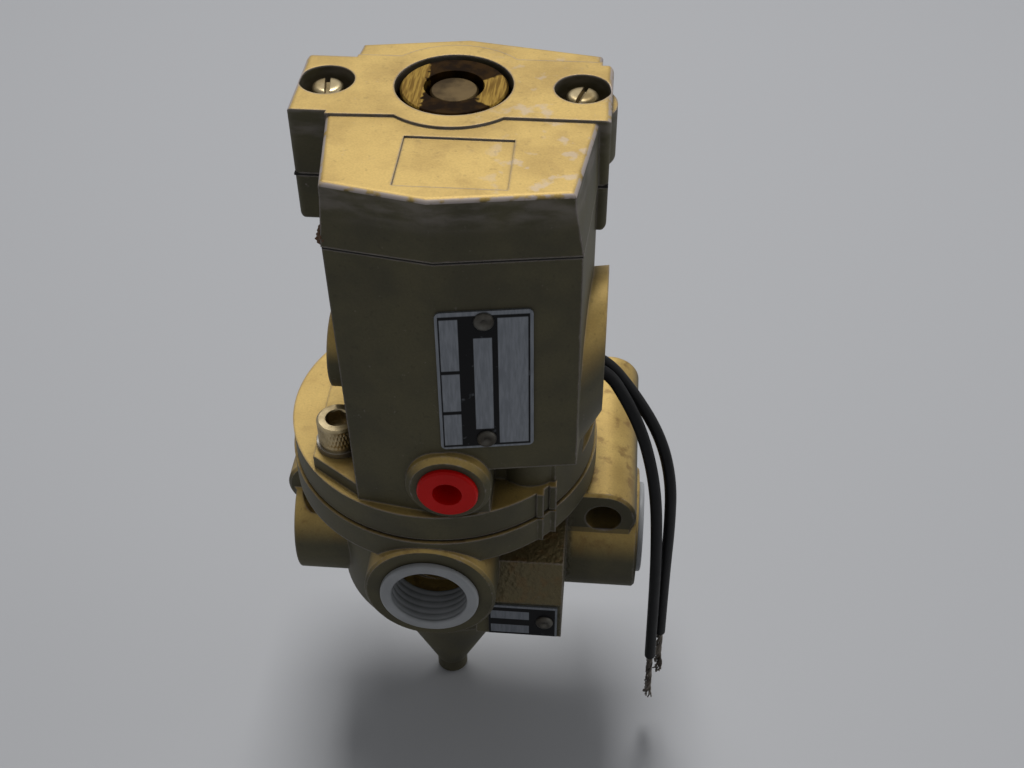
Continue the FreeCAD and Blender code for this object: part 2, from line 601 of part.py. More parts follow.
def drill_pilot_housing(piece):
    """The bores and galleries of the housing, after all its walls stand."""
    pocket(piece, ring(sketch(piece, "YZ", at.conduit_reach), at.conduit_y, at.conduit_z, at.conduit_hole),
           at.conduit_reach - at.side_right + at.wall + at.conduit_through)
    pocket(piece, ring(sketch(piece, "XZ", -at.plug_boss_front), at.plug_x, at.plug_z, at.plug_hole), at.plug_deep)
    pocket(piece, ring(sketch(piece, "XZ", -at.plug_boss_front), at.plug_x, at.gallery_z, at.gallery_rad),
           at.pilot_y - at.plug_boss_front)
    # pilot room, seat bore and crown, one above the other
    pocket(piece, ring(sketch(piece, "XY", at.pilot_boss_top), 0, at.pilot_y, at.crown_rad), at.crown_deep)
    pocket(piece, ring(sketch(piece, "XY", at.pilot_boss_top), 0, at.pilot_y, at.seat_out),
           at.pilot_boss_top - at.seat_low)
    pocket(piece, ring(sketch(piece, "XY", at.pilot_boss_top), 0, at.pilot_y, at.pilot_room_rad),
           at.pilot_boss_top - at.pilot_room_low)
    # from the crown down to the piston, and room for the stem nut
    pocket(piece, ring(sketch(piece, "XY", at.pilot_boss_top), at.crown_way_x, at.pilot_y, at.gallery_rad),
           at.pilot_boss_top - disc_low)
    nut_room = ring(sketch(piece, "XY", disc_low), at.valve_x, at.valve_y, at.nut_room_rad)
    pocket(piece, nut_room, at.nut_thick + at.stem_over + at.cut_over, ahead=True)
    holes = sketch(piece, "XY", shelf_top)
    for sx, sy in bolt_spots:
        dx, dy = bolt_place(sx, sy)
        ring(holes, at.valve_x + dx, at.valve_y + dy, at.bolt_rad + at.bolt_gap)
    pocket(piece, holes, shelf_top - disc_low)
    holes = sketch(piece, "XY", housing_top)
    for side in (-1, 1):
        ring(holes, at.screw_x * side, at.pilot_y, at.screw_rad + at.slide_gap)
    pocket(piece, holes, at.screw_long - (screw_seat - housing_top) + at.part_gap)


def make_top_cover():
    piece = body("top_cover")
    foot = wall_outline(sketch(piece, "XY", at.seam_z), "top", -at.cover_over)
    corners = [
        (at.cover_left_x, at.cover_left_y), (at.cover_apex_x, at.cover_apex_y),
        (at.cover_right_x, at.cover_right_y), (at.cover_side, at.waist_y),
        (at.cover_side, at.back_right_y), (at.back_apex_x, at.back_apex_y),
        (at.cover_back_left_x, at.back_left_y), (at.cover_waist_left, at.waist_y)]
    slab_low = cover_top - at.cover_slab
    loft(piece, foot, outline(sketch(piece, "XY", slab_low), corners))
    block = pad(piece, outline(sketch(piece, "XY", slab_low), corners), at.cover_slab)
    round_edges(piece, block, at.cover_round, lambda e, m: abs(m.z - cover_top.value) < 0.01)

    # ears of the screws, and the band between them that swells round the cap
    ears = pad(piece, box(sketch(piece, "XY", at.seam_z), -at.ear_reach, at.ear_reach,
                          at.ear_front, at.ear_back), at.cover_high)
    round_edges(piece, ears, at.ear_round, lambda e, m: abs(abs(m.x) - sizes["ear_reach"]) < 0.01
                and abs(m.z - sizes["seam_z"]) > 0.01)
    band = outline(sketch(piece, "XY", cover_top), [
        (at.cover_waist_left, at.band_front_left), (at.cover_side, at.band_front_right),
        (at.cover_side, at.band_back_right), (at.cover_back_left_x, at.band_back_left)])
    pad(piece, band, at.cover_step)
    pad(piece, ring(sketch(piece, "XY", cover_top), 0, at.pilot_y, at.band_rad), at.cover_step)

    # hollow inside, with a post under each screw
    pocket(piece, wall_outline(sketch(piece, "XY", at.seam_z), "top", at.wall),
           at.cover_high - at.cover_roof, ahead=True)
    posts = sketch(piece, "XY", at.seam_z)
    ring(posts, at.screw_x, at.pilot_y, at.screw_well + at.post_wall)
    pad(piece, posts, at.cover_high - at.cover_roof)
    wells = sketch(piece, "XY", band_top)
    holes = sketch(piece, "XY", band_top)
    for side in (-1, 1):
        ring(wells, at.screw_x * side, at.pilot_y, at.screw_well)
        ring(holes, at.screw_x * side, at.pilot_y, at.screw_rad + at.bolt_gap)
    pocket(piece, wells, at.screw_well_deep)
    pocket(piece, holes, at.cover_high)
    pocket(piece, ring(sketch(piece, "XY", band_top), 0, at.pilot_y, at.cover_hole), at.cover_high)
    panel = box(sketch(piece, "XY", cover_top), at.panel_left, at.panel_right, at.panel_front, at.panel_back)
    pocket(piece, panel, at.panel_deep)
    return piece


def make_cover_gasket():
    piece = body("cover_gasket")
    pad(piece, wall_outline(sketch(piece, "XY", housing_top), "top"), at.cover_gasket)
    ears = box(sketch(piece, "XY", housing_top), -at.ear_reach, at.ear_reach, at.ear_front, at.ear_back)
    pad(piece, ears, at.cover_gasket)
    pocket(piece, wall_outline(sketch(piece, "XY", at.seam_z), "top", at.wall), at.cover_gasket)
    post = ring(sketch(piece, "XY", housing_top), at.screw_x, at.pilot_y, at.screw_well)
    pad(piece, post, at.cover_gasket)
    holes = sketch(piece, "XY", at.seam_z)
    for side in (-1, 1):
        ring(holes, at.screw_x * side, at.pilot_y, at.screw_rad + at.bolt_gap)
    pocket(piece, holes, at.cover_gasket)
    return piece


def make_body_gasket():
    piece = body("body_gasket", at.valve_x, at.valve_y, at.joint_z)
    plan = sketch(piece, "XY")
    ring(plan, 0, 0, at.disc_rad - at.part_gap)
    ring(plan, 0, 0, at.piston_rad + at.part_gap)
    for sx, sy in bolt_spots:
        ring(plan, *bolt_place(sx, sy), at.bolt_rad + at.bolt_gap)
    pad(piece, plan, at.body_gasket)
    return piece


def cover_screw(side):
    """A fillister screw; its slot lies slantwise."""
    piece = turned("cover_screw", [
        (0, at.screw_head_high), (at.screw_crown, at.screw_head_high),
        (at.screw_head, at.screw_head_high - at.screw_dome), (at.screw_head, 0),
        (at.screw_rad, 0), (at.screw_rad, -at.screw_long), (0, -at.screw_long)],
        at.screw_x * side, at.pilot_y, screw_seat,
        FreeCAD.Rotation(FreeCAD.Vector(0, 0, 1), sizes["slot_turn"]), kept=False)
    slot = box(sketch(piece, "XY", at.screw_head_high), -at.screw_head - at.cut_over, at.screw_head + at.cut_over,
               -at.slot_wide / 2, at.slot_wide / 2)
    pocket(piece, slot, at.slot_deep)
    return piece


def hexagon(flat, flats):
    """Six corners from the distance across the flats."""
    apart = flats / math.sqrt(3)
    return outline(flat, [(apart * round(math.cos(math.pi * k / 3), 6), apart * round(math.sin(math.pi * k / 3), 6))
                          for k in range(6)])


def flange_bolt(sx, sy):
    dx, dy = bolt_place(sx, sy)
    long = shelf_top + at.washer_thick - at.joint_z + at.rim_high
    piece = turned("flange_bolt", [
        (0, at.bolt_head_high), (at.bolt_head - at.edge_break, at.bolt_head_high),
        (at.bolt_head, at.bolt_head_high - at.edge_break), (at.bolt_head, 0), (at.bolt_rad, 0),
        (at.bolt_rad, -long), (0, -long)],
        at.valve_x + dx, at.valve_y + dy, shelf_top + at.washer_thick, kept=False)
    pocket(piece, hexagon(sketch(piece, "XY", at.bolt_head_high), at.bolt_hex), at.bolt_hex_deep)
    return piece


def lock_washer(sx, sy):
    dx, dy = bolt_place(sx, sy)
    piece = turned("lock_washer", [
        (at.bolt_rad + at.bolt_gap, 0), (at.washer_rad, 0), (at.washer_rad, at.washer_thick),
        (at.bolt_rad + at.bolt_gap, at.washer_thick)],
        at.valve_x + dx, at.valve_y + dy, shelf_top, kept=False)
    split = box(sketch(piece, "XY", at.washer_thick), 0, at.washer_rad + at.cut_over,
                -at.washer_split / 2, at.washer_split / 2)
    pocket(piece, split, at.washer_thick)
    return piece


# The valve's moving pieces.
piston_low = at.piston_floor + at.piston_rest + at.stroke
piston_top = piston_low + at.piston_thick
stem_top = piston_top + at.nut_thick + at.stem_over
stem_hole = at.stem_rad + at.slide_gap
inlet_top = at.inlet_seat - at.slide_gap
inlet_low = inlet_top - at.poppet_thick
exhaust_low = at.exhaust_seat + at.stroke + at.slide_gap


def make_valve_train():
    groove_in = at.piston_rad - at.seal_thick
    seal_low = piston_low + (at.piston_thick - at.seal_thick) / 2
    turned("piston", [
        (stem_hole, piston_low), (at.piston_rad - at.slide_gap, piston_low),
        (at.piston_rad - at.slide_gap, seal_low), (groove_in, seal_low),
        (groove_in, seal_low + at.seal_thick), (at.piston_rad - at.slide_gap, seal_low + at.seal_thick),
        (at.piston_rad - at.slide_gap, piston_top), (stem_hole, piston_top)], at.valve_x, at.valve_y)
    turned("piston_seal", [
        (groove_in, seal_low), (at.piston_rad - at.seal_gap, seal_low),
        (at.piston_rad - at.seal_gap, seal_low + at.seal_thick), (groove_in, seal_low + at.seal_thick)],
        at.valve_x, at.valve_y)
    turned("valve_stem", [
        (0, stem_top), (at.stem_rad - at.edge_break, stem_top), (at.stem_rad, stem_top - at.edge_break),
        (at.stem_rad, inlet_low - at.stem_under), (0, inlet_low - at.stem_under)], at.valve_x, at.valve_y)
    nut = body("stem_nut", at.valve_x, at.valve_y, piston_top)
    pad(nut, hexagon(sketch(nut, "XY"), at.nut_flat), at.nut_thick)
    pocket(nut, ring(sketch(nut, "XY", at.nut_thick), 0, 0, stem_hole), at.nut_thick)
    for label, low in (("exhaust_poppet", exhaust_low), ("inlet_poppet", inlet_low)):
        turned(label, [
            (stem_hole, low), (at.poppet_rad, low), (at.poppet_rad, low + at.poppet_thick),
            (stem_hole, low + at.poppet_thick)], at.valve_x, at.valve_y)


def make_seat_cage():
    """The sleeve that guides the stem and carries both seats, with ports cut through its wall."""
    room = at.cage_rad - at.cage_wall
    skin = at.cage_rad - at.slide_gap
    flange_low = at.piston_floor - at.cage_flange_thick
    guide = at.stem_rad + at.slide_gap
    piece = turned("seat_cage", [
        (guide, at.piston_floor), (at.cage_flange_rad - at.slide_gap, at.piston_floor),
        (at.cage_flange_rad - at.slide_gap, flange_low), (skin, flange_low), (skin, at.inlet_seat),
        (at.seat_rad, at.inlet_seat), (at.seat_rad, at.inlet_seat + at.web_thick),
        (room, at.inlet_seat + at.web_thick), (room, at.exhaust_seat - at.web_thick),
        (at.seat_rad, at.exhaust_seat - at.web_thick), (at.seat_rad, at.exhaust_seat),
        (room, at.exhaust_seat), (room, flange_low), (guide, flange_low)], at.valve_x, at.valve_y)
    half = at.window_wide / 2
    outer = skin + at.cut_over
    upper = box(sketch(piece, "XZ", outer), -half, half,
                at.exhaust_seat + at.window_edge, flange_low - at.window_edge)
    pocket(piece, upper, outer * 2)
    lower = box(sketch(piece, "YZ", outer), -half, half,
                at.inlet_seat + at.web_thick + at.window_edge, at.exhaust_seat - at.web_thick - at.window_edge)
    pocket(piece, lower, outer * 2)
    return piece


# The pilot valve and the solenoid.
pole_low = at.pilot_boss_top
frame_low = pole_low + at.pole_flange_thick
frame_top = frame_low + at.frame_high
tube_in = at.core_rad + at.slide_gap
tube_out = tube_in + at.tube_wall
pin_hole = at.pin_rad + at.slide_gap
plunger_low = at.pole_top + at.pilot_travel + at.air_gap
plunger_top = plunger_low + at.plunger_high
pocket_top = plunger_low + at.pilot_pocket_deep
poppet_top = at.seat_low - at.slide_gap


def make_solenoid():
    turned("pole_piece", [
        (at.pin_rad + at.part_gap, pole_low), (at.pole_flange, pole_low), (at.pole_flange, frame_low),
        (at.core_rad, frame_low), (at.core_rad, at.pole_top), (at.pilot_pocket, at.pole_top),
        (at.pilot_pocket, at.pole_top - at.pilot_pocket_deep),
        (at.pin_rad + at.part_gap, at.pole_top - at.pilot_pocket_deep)], 0, at.pilot_y)
    turned("guide_tube", [
        (tube_in, frame_low), (tube_out, frame_low), (tube_out, tube_top), (tube_in, tube_top)],
        0, at.pilot_y)
    hole = tube_out + at.part_gap
    coil = body("solenoid_coil", 0, at.pilot_y)
    low, high = frame_low + at.frame_thick, frame_top - at.frame_thick
    revolve(coil, outline(sketch(coil, "XZ"), [
        (hole, low), (at.coil_rad, low), (at.coil_rad, low + at.coil_cheek),
        (at.winding_rad, low + at.coil_cheek), (at.winding_rad, high - at.coil_cheek),
        (at.coil_rad, high - at.coil_cheek), (at.coil_rad, high), (hole, high)]))
    block = box(sketch(coil, "XY", at.block_low), at.block_left, at.block_right,
                at.block_front - at.pilot_y, at.block_back - at.pilot_y)
    pad(coil, block, at.block_high - at.block_low)

    frame = body("coil_frame", 0, at.pilot_y)
    half = at.frame_wide / 2
    side = sketch(frame, "XZ", at.frame_deep / 2)
    box(side, -half, half, frame_low, frame_top)
    box(side, -half + at.frame_thick, half - at.frame_thick, frame_low + at.frame_thick, frame_top - at.frame_thick)
    pad(frame, side, at.frame_deep, back=True)
    pocket(frame, ring(sketch(frame, "XY", frame_top), 0, 0, hole), at.frame_high)

    # the armature, the pin it drives through the pole piece, and the pilot poppet on the pin's end
    turned("plunger", [
        (0, rod_top), (at.rod_rad, rod_top), (at.rod_rad, plunger_top), (tube_in - at.plunger_gap, plunger_top),
        (tube_in - at.plunger_gap, plunger_low), (at.pilot_pocket, plunger_low), (at.pilot_pocket, pocket_top),
        (pin_hole, pocket_top), (pin_hole, pocket_top + at.pin_grip), (0, pocket_top + at.pin_grip)],
        0, at.pilot_y)
    turned("push_pin", [
        (0, poppet_top - at.pin_bite), (at.pin_rad, poppet_top - at.pin_bite),
        (at.pin_rad, pocket_top + at.pin_grip), (0, pocket_top + at.pin_grip)], 0, at.pilot_y)
    turned("pilot_poppet", [
        (0, poppet_top - at.pilot_poppet_thick), (at.pilot_poppet_rad, poppet_top - at.pilot_poppet_thick),
        (at.pilot_poppet_rad, poppet_top), (pin_hole, poppet_top), (pin_hole, poppet_top - at.pin_bite),
        (0, poppet_top - at.pin_bite)], 0, at.pilot_y)
    turned("pilot_seat", [
        (at.seat_orifice, at.seat_low), (at.seat_out - at.slide_gap, at.seat_low),
        (at.seat_out - at.slide_gap, at.seat_low + at.seat_high),
        (at.seat_orifice, at.seat_low + at.seat_high)], 0, at.pilot_y)


button_top = cap_top - at.button_drop
rod_top = button_low - at.slide_gap


def make_cap_and_button():
    turned("solenoid_cap", [
        (at.cap_room_rad, frame_top), (at.cap_rad, frame_top), (at.cap_rad, cap_top - at.edge_break),
        (at.cap_rad - at.edge_break, cap_top), (at.cap_hole, cap_top), (at.cap_hole, cap_top - at.cap_hole_deep),
        (at.button_rad + at.slide_gap, cap_top - at.cap_hole_deep),
        (at.button_rad + at.slide_gap, cap_room_top), (at.cap_room_rad, cap_room_top)],
        0, at.pilot_y)
    turned("override_button", [
        (0, button_low), (at.button_flange, button_low),
        (at.button_flange, button_low + at.button_flange_thick),
        (at.button_rad, button_low + at.button_flange_thick), (at.button_rad, button_top - at.edge_break),
        (at.button_rad - at.edge_break, button_top), (0, button_top)], 0, at.pilot_y)


# Trim on the outside.
toward_front = FreeCAD.Rotation(FreeCAD.Vector(1, 0, 0), 90)
toward_right = FreeCAD.Rotation(FreeCAD.Vector(0, 1, 0), 90)


def make_port_guards():
    """Thin plastic sleeves that close in the tapped mouths while they are unused."""
    sleeve = [
        (at.guard_in, -at.guard_deep), (at.thread_rad - at.slide_gap, -at.guard_deep),
        (at.thread_rad - at.slide_gap, 0), (at.guard_flange, 0), (at.guard_flange, at.guard_thick),
        (at.guard_in, at.guard_thick)]
    turned("front_port_guard", sleeve, at.valve_x, -front_face, 0, toward_front)
    turned("right_port_guard", sleeve, right_face, at.valve_y, -at.port_drop, toward_right)


def make_plug():
    piece = turned("pilot_port_plug", [
        (0, at.plug_end_gap - at.plug_deep), (at.plug_hole - at.slide_gap, at.plug_end_gap - at.plug_deep),
        (at.plug_hole - at.slide_gap, 0), (at.plug_head, 0), (at.plug_head, at.plug_head_thick - at.edge_break),
        (at.plug_head - at.edge_break, at.plug_head_thick),
        (0, at.plug_head_thick)], at.plug_x, at.plug_boss_front, at.plug_z, toward_front)
    hollow = ring(sketch(piece, "XY", at.plug_head_thick), 0, 0, at.plug_hollow)
    pocket(piece, hollow, at.plug_head_thick + at.plug_deep - at.plug_end_gap * 2)
    return piece


def facet_frame(x, z):
    """Where a plate sits on the right front facet, and how it is turned."""
    lean = (sizes["apex_top"] - sizes["apex_low"]) / (housing_top - disc_top).value
    along = FreeCAD.Vector(1, sizes["right_slope"], 0)
    up = FreeCAD.Vector(0, lean, 1)
    along.normalize()
    out = along.cross(up)
    out.normalize()
    up = out.cross(along)
    y = at.apex_low + (Term.of(x) - at.apex_x) * at.right_slope + (Term.of(z) - disc_top) * lean
    return (x, y, z), FreeCAD.Rotation(along, up, out, "XYZ")


def rivet(place, turn, lift):
    return turned("rivet", [
        (0, lift - at.plate_thick), (at.rivet_rad, lift - at.plate_thick), (at.rivet_rad, lift),
        (at.rivet_head, lift), (at.rivet_head, lift + at.rivet_rim),
        (at.rivet_shoulder, lift + at.rivet_shoulder_high), (at.rivet_crown, lift + at.rivet_high),
        (0, lift + at.rivet_high)], *place, turn, kept=False)


def make_plates():
    place, turn = facet_frame(at.plate_left, at.plate_low)
    plate = body("data_plate", *place, turn)
    face = box(sketch(plate, "XY"), 0, at.plate_wide, 0, at.plate_high)
    sheet_metal = pad(plate, face, at.plate_thick)
    corners = edges_where(sheet_metal, lambda e, m: abs(m.z - sizes["plate_thick"] / 2) < 0.01)
    fillet(plate, sheet_metal, corners, at.plate_round)
    rivets = []
    for rise in (at.plate_rivet_in, at.plate_high - at.plate_rivet_in):
        hole = ring(sketch(plate, "XY", at.plate_thick), at.plate_rivet_x, rise, at.rivet_rad + at.slide_gap)
        pocket(plate, hole, at.plate_thick)
        offset = turn.multVec(FreeCAD.Vector(sizes["plate_rivet_x"], rise.value, 0))
        spot = tuple(part + shift for part, shift in zip(place, offset))
        rivets.append(rivet(spot, turn, at.plate_thick))
    group("data_plate_rivets", rivets)

    tag = body("body_plate", 0, pad_front, 0, toward_front)
    face = box(sketch(tag, "XY"), at.tag_left, at.tag_right, at.tag_low, at.tag_high)
    pad(tag, face, at.plate_thick)
    rise = (at.tag_low + at.tag_high) / 2
    pocket(tag, ring(sketch(tag, "XY", at.plate_thick), at.tag_rivet, rise, at.rivet_rad + at.slide_gap),
           at.plate_thick)
    single = rivet((at.tag_rivet, pad_front, rise), toward_front, at.plate_thick)
    group("body_plate_rivet", [single])


# The leads.
def lead(label, points, dia):
    """A round wire along straight runs joined by arcs that touch them."""
    edges = []
    start = points[0]
    for before, corner, after in zip(points, points[1:], points[2:]):
        back, ahead = before - corner, after - corner
        short = min(back.Length, ahead.Length)
        back.normalize()
        ahead.normalize()
        cut = 0.45 * short
        one, two = corner + back * cut, corner + ahead * cut
        half = back.getAngle(ahead) / 2
        radius = cut * math.tan(half)
        middle = back + ahead
        middle.normalize()
        centre = corner + middle * (cut / math.cos(half))
        edges.append(Part.LineSegment(start, one).toShape())
        edges.append(Part.Arc(one, centre - middle * radius, two).toShape())
        start = two
        print(label, "arc radius %.1f" % radius)
    edges.append(Part.LineSegment(start, points[-1]).toShape())
    path = Part.Wire(edges)
    first = points[1] - points[0]
    section = Part.Wire(Part.makeCircle(dia / 2, points[0], first))
    tube = path.makePipeShell([section], True, False)
    print(label, "volume %.1f, section times length %.1f" % (tube.Volume, math.pi * dia ** 2 / 4 * path.Length))
    wire = doc.addObject("Part::Feature", label)
    wire.Label = label
    wire.Shape = tube
    subparts.append(wire)
    return wire


def strands(label, start, along, bared):
    """The bared conductor past the insulation."""
    wire = doc.addObject("Part::Cylinder", label)
    wire.Label = label
    bind(wire, "Radius", at.strand_dia / 2)
    bind(wire, "Height", bared)
    wire.Placement = FreeCAD.Placement(start, FreeCAD.Rotation(FreeCAD.Vector(0, 0, 1), along))
    subparts.append(wire)
    return wire


inner_route = [
    (13.0, -47.6, 46.4), (21.9, -47.6, 46.4), (33.5, -47.6, 47.0), (39.25, -50.47, 37.34), (43.1, -52.6, 27.5),
    (46.3, -54.4, 13.3), (48.1, -54.4, -6.0), (49.2, -54.4, -26.4), (49.8, -54.4, -48.7)]
outer_route = [
    (13.0, -44.0, 49.2), (23.0, -44.0, 49.2), (33.4, -44.0, 47.0), (41.4, -46.4, 38.2), (47.2, -49.0, 27.4),
    (50.5, -51.2, 15.6), (51.4, -51.2, 0.1), (51.5, -51.2, -19.3), (52.0, -51.2, -42.3)]


def make_leads():
    for name, route, bared in (("inner", inner_route, at.inner_bared), ("outer", outer_route, at.outer_bared)):
        points = [FreeCAD.Vector(*spot) for spot in route]
        lead("%s_lead" % name, points, sizes["lead_dia"])
        strands("%s_lead_strands" % name, points[-1], points[-1] - points[-2], bared)


screw_seat = band_top - at.screw_well_deep
housing = make_pilot_housing()
drill_pilot_housing(housing)
make_valve_body()
make_top_cover()
make_cover_gasket()
make_body_gasket()
group("cover_screws", [cover_screw(side) for side in (-1, 1)])
group("flange_bolts", [flange_bolt(*spot) for spot in bolt_spots])
group("lock_washers", [lock_washer(*spot) for spot in bolt_spots])
make_valve_train()
make_seat_cage()
make_solenoid()
make_cap_and_button()
make_port_guards()
make_plug()
make_plates()
coil_spring("return_spring", sizes["valve_x"], sizes["valve_y"], sizes["bowl_floor"],
            inlet_low.value - sizes["bowl_floor"], sizes["spring_rad"], sizes["spring_wire"],
            sizes["spring_turns"])
spring_low = at.pole_top - at.pilot_pocket_deep
coil_spring("plunger_spring", 0, sizes["pilot_y"], spring_low.value, (pocket_top - spring_low).value,
            sizes["pilot_spring_rad"], sizes["pilot_spring_wire"], sizes["pilot_spring_turns"])
make_leads()

doc.recompute()
for thing in doc.Objects:
    if "Invalid" in thing.State or "Error" in thing.State:
        raise RuntimeError("%s did not compute" % thing.Name)
for piece in subparts:
    if piece.Shape.isNull() or not piece.Shape.isValid():
        raise RuntimeError("%s has no valid shape" % piece.Label)
os.makedirs("parts", exist_ok=True)
for piece in subparts:
    piece.Shape.exportStep("parts/%s.step" % piece.Label)
    print(piece.Label, round(piece.Shape.Volume, 1), len(piece.Shape.Solids))
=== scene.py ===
import math
import bmesh
import bpy
import numpy as np
from mathutils import Matrix, Vector


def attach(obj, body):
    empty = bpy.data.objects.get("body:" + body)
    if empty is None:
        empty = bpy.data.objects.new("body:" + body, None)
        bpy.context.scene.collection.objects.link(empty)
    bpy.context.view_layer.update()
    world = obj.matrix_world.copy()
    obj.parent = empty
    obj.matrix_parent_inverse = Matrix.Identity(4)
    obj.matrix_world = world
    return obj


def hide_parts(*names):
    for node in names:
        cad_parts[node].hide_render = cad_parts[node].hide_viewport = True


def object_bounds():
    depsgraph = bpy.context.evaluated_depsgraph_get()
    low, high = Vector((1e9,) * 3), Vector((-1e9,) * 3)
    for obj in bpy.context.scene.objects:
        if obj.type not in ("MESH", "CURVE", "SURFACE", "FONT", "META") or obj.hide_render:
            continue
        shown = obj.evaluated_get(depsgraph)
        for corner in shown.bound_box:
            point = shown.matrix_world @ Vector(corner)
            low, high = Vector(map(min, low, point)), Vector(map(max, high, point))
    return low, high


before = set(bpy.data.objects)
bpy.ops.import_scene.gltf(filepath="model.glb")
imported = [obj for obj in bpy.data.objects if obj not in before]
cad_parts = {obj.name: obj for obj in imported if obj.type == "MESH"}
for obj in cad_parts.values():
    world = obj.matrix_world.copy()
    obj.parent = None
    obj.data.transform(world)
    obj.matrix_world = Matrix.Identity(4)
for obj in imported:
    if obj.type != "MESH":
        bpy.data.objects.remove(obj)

mm = 0.001
perMetre = 1000.0  # millimetres in a metre, for noise scales
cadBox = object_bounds()
scene = bpy.context.scene
scene.view_settings.view_transform = "Standard"
print("frame loaded:", len(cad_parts), "nodes")

# camera, floor and light

cameraSetup = {
    "lens": 45.86, "sensor": 36.0,
    "place": (31.65 * mm, -263.27 * mm, 238.12 * mm),
    "azimuth": 4.944, "elevation": 42.471, "roll": 0.372, "clip": (0.01, 20.0),
}


# The camera's axes: a level view turned to its azimuth, tipped down, then rolled about its own line of sight.
def makeCamera(setup):
    data = bpy.data.cameras.new("camera")
    data.lens = setup["lens"]
    data.sensor_width = setup["sensor"]
    data.clip_start, data.clip_end = setup["clip"]
    camera = bpy.data.objects.new("camera", data)
    turn = Matrix.Rotation(math.radians(setup["azimuth"]), 4, "Z")
    tip = Matrix.Rotation(math.radians(90 - setup["elevation"]), 4, "X")
    roll = Matrix.Rotation(math.radians(-setup["roll"]), 4, "Z")
    camera.matrix_world = Matrix.Translation(setup["place"]) @ turn @ tip @ roll
    scene.collection.objects.link(camera)
    scene.camera = camera
    return camera


# One shader node, with its own settings given by name.
def addNode(tree, kind, **settings):
    node = tree.nodes.new(kind)
    for name, value in settings.items():
        setattr(node, name, value)
    return node


# One Math node; first and second are sockets or numbers.
def maths(tree, operation, first, second=None, clamp=False):
    node = addNode(tree, "ShaderNodeMath", operation=operation, use_clamp=clamp)
    for place, value in enumerate((first, second)):
        if value is None:
            continue
        if isinstance(value, (int, float)):
            node.inputs[place].default_value = value
        else:
            tree.links.new(value, node.inputs[place])
    return node.outputs[0]


# A material with its tree and its shader.
def newMaterial(name):
    made = bpy.data.materials.new(name)
    made.use_nodes = True
    tree = made.node_tree
    return made, tree, tree.nodes["Principled BSDF"]


# A colour as the screen's 0 to 255 numbers, turned to linear light.
def colour(r, g, b):
    share = np.array([r, g, b]) / 255.0
    linear = np.where(share <= 0.04045, share / 12.92, ((share + 0.055) / 1.055) ** 2.4)
    return (*linear.tolist(), 1.0)


floorSetup = {"half": 1.2, "tone": (184, 185, 188), "roughness": 0.55}
lightSetup = {
    "world": 0.19, "backdrop": 0.42, "tint": (0.95, 0.97, 1.0, 1.0),
    # name: place, size, watts
    "key": ((-0.05, 0.46, 1.10), 0.5, 9.6),
    "right": ((0.95, 0.15, 0.45), 0.7, 1.2),
}


# A flat floor at the valve's foot, a soft key from above and behind, a weak right light, an even world.
def makeStudio():
    half, foot = floorSetup["half"], cadBox[0].z
    mesh = bpy.data.meshes.new("floor")
    mesh.from_pydata([(-half, -half, foot), (half, -half, foot), (half, half, foot), (-half, half, foot)],
                     [], [(0, 1, 2, 3)])
    floor = bpy.data.objects.new("floor", mesh)
    scene.collection.objects.link(floor)
    made, tree, shader = newMaterial("floorPaper")
    shader.inputs["Base Color"].default_value = colour(*floorSetup["tone"])
    shader.inputs["Roughness"].default_value = floorSetup["roughness"]
    mesh.materials.append(made)

    world = bpy.data.worlds.new("studio")
    scene.world = world
    world.use_nodes = True
    tree = world.node_tree
    background = tree.nodes["Background"]
    background.inputs["Color"].default_value = lightSetup["tint"]
    rays = addNode(tree, "ShaderNodeLightPath")
    seen = 0.0
    for ray in ("Is Camera Ray", "Is Glossy Ray", "Is Transmission Ray"):
        seen = maths(tree, "MAXIMUM", rays.outputs[ray], seen)
    level = maths(tree, "MULTIPLY", seen, lightSetup["backdrop"] - lightSetup["world"])
    tree.links.new(maths(tree, "ADD", level, lightSetup["world"]), background.inputs["Strength"])
    middle = (cadBox[0] + cadBox[1]) / 2
    for name in ("key", "right"):
        place, size, watts = lightSetup[name]
        lamp = bpy.data.lights.new(name, "AREA")
        lamp.size = size
        lamp.energy = watts
        holder = bpy.data.objects.new(name, lamp)
        holder.location = place
        holder.rotation_euler = (middle - Vector(place)).to_track_quat("-Z", "Y").to_euler()
        scene.collection.objects.link(holder)


makeCamera(cameraSetup)
makeStudio()
print("camera and studio set")

# shapes: arrays of points on a grid, and the faces between them

weldReach = 0.0005 * mm  # points nearer than this become one


# Quads between neighbouring points of a rows by columns grid; closed joins the last column to the first.
def gridFaces(rows, columns, closed):
    row, column = np.meshgrid(np.arange(rows - 1), np.arange(columns if closed else columns - 1), indexing="ij")
    after = (column + 1) % columns
    quads = np.stack([row * columns + column, row * columns + after,
                      (row + 1) * columns + after, (row + 1) * columns + column], -1)
    return quads.reshape(-1, 4)


# A mesh piece at the origin that rides on a body; edges sharper than crease degrees stay crisp.
def makePiece(name, points, faces, body, crease=35.0):
    mesh = bpy.data.meshes.new(name)
    mesh.from_pydata(np.asarray(points, float).reshape(-1, 3).tolist(), [], [list(f) for f in faces])
    work = bmesh.new()
    work.from_mesh(mesh)
    bmesh.ops.remove_doubles(work, verts=work.verts, dist=weldReach)
    bmesh.ops.recalc_face_normals(work, faces=work.faces)
    work.to_mesh(mesh)
    work.free()
    mesh.validate()
    mesh.shade_smooth()
    mesh.set_sharp_from_angle(angle=math.radians(crease))
    piece = bpy.data.objects.new(name, mesh)
    scene.collection.objects.link(piece)
    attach(piece, body)
    return piece


# leads: two insulated wires that leave the conduit mouth, and their bared strands

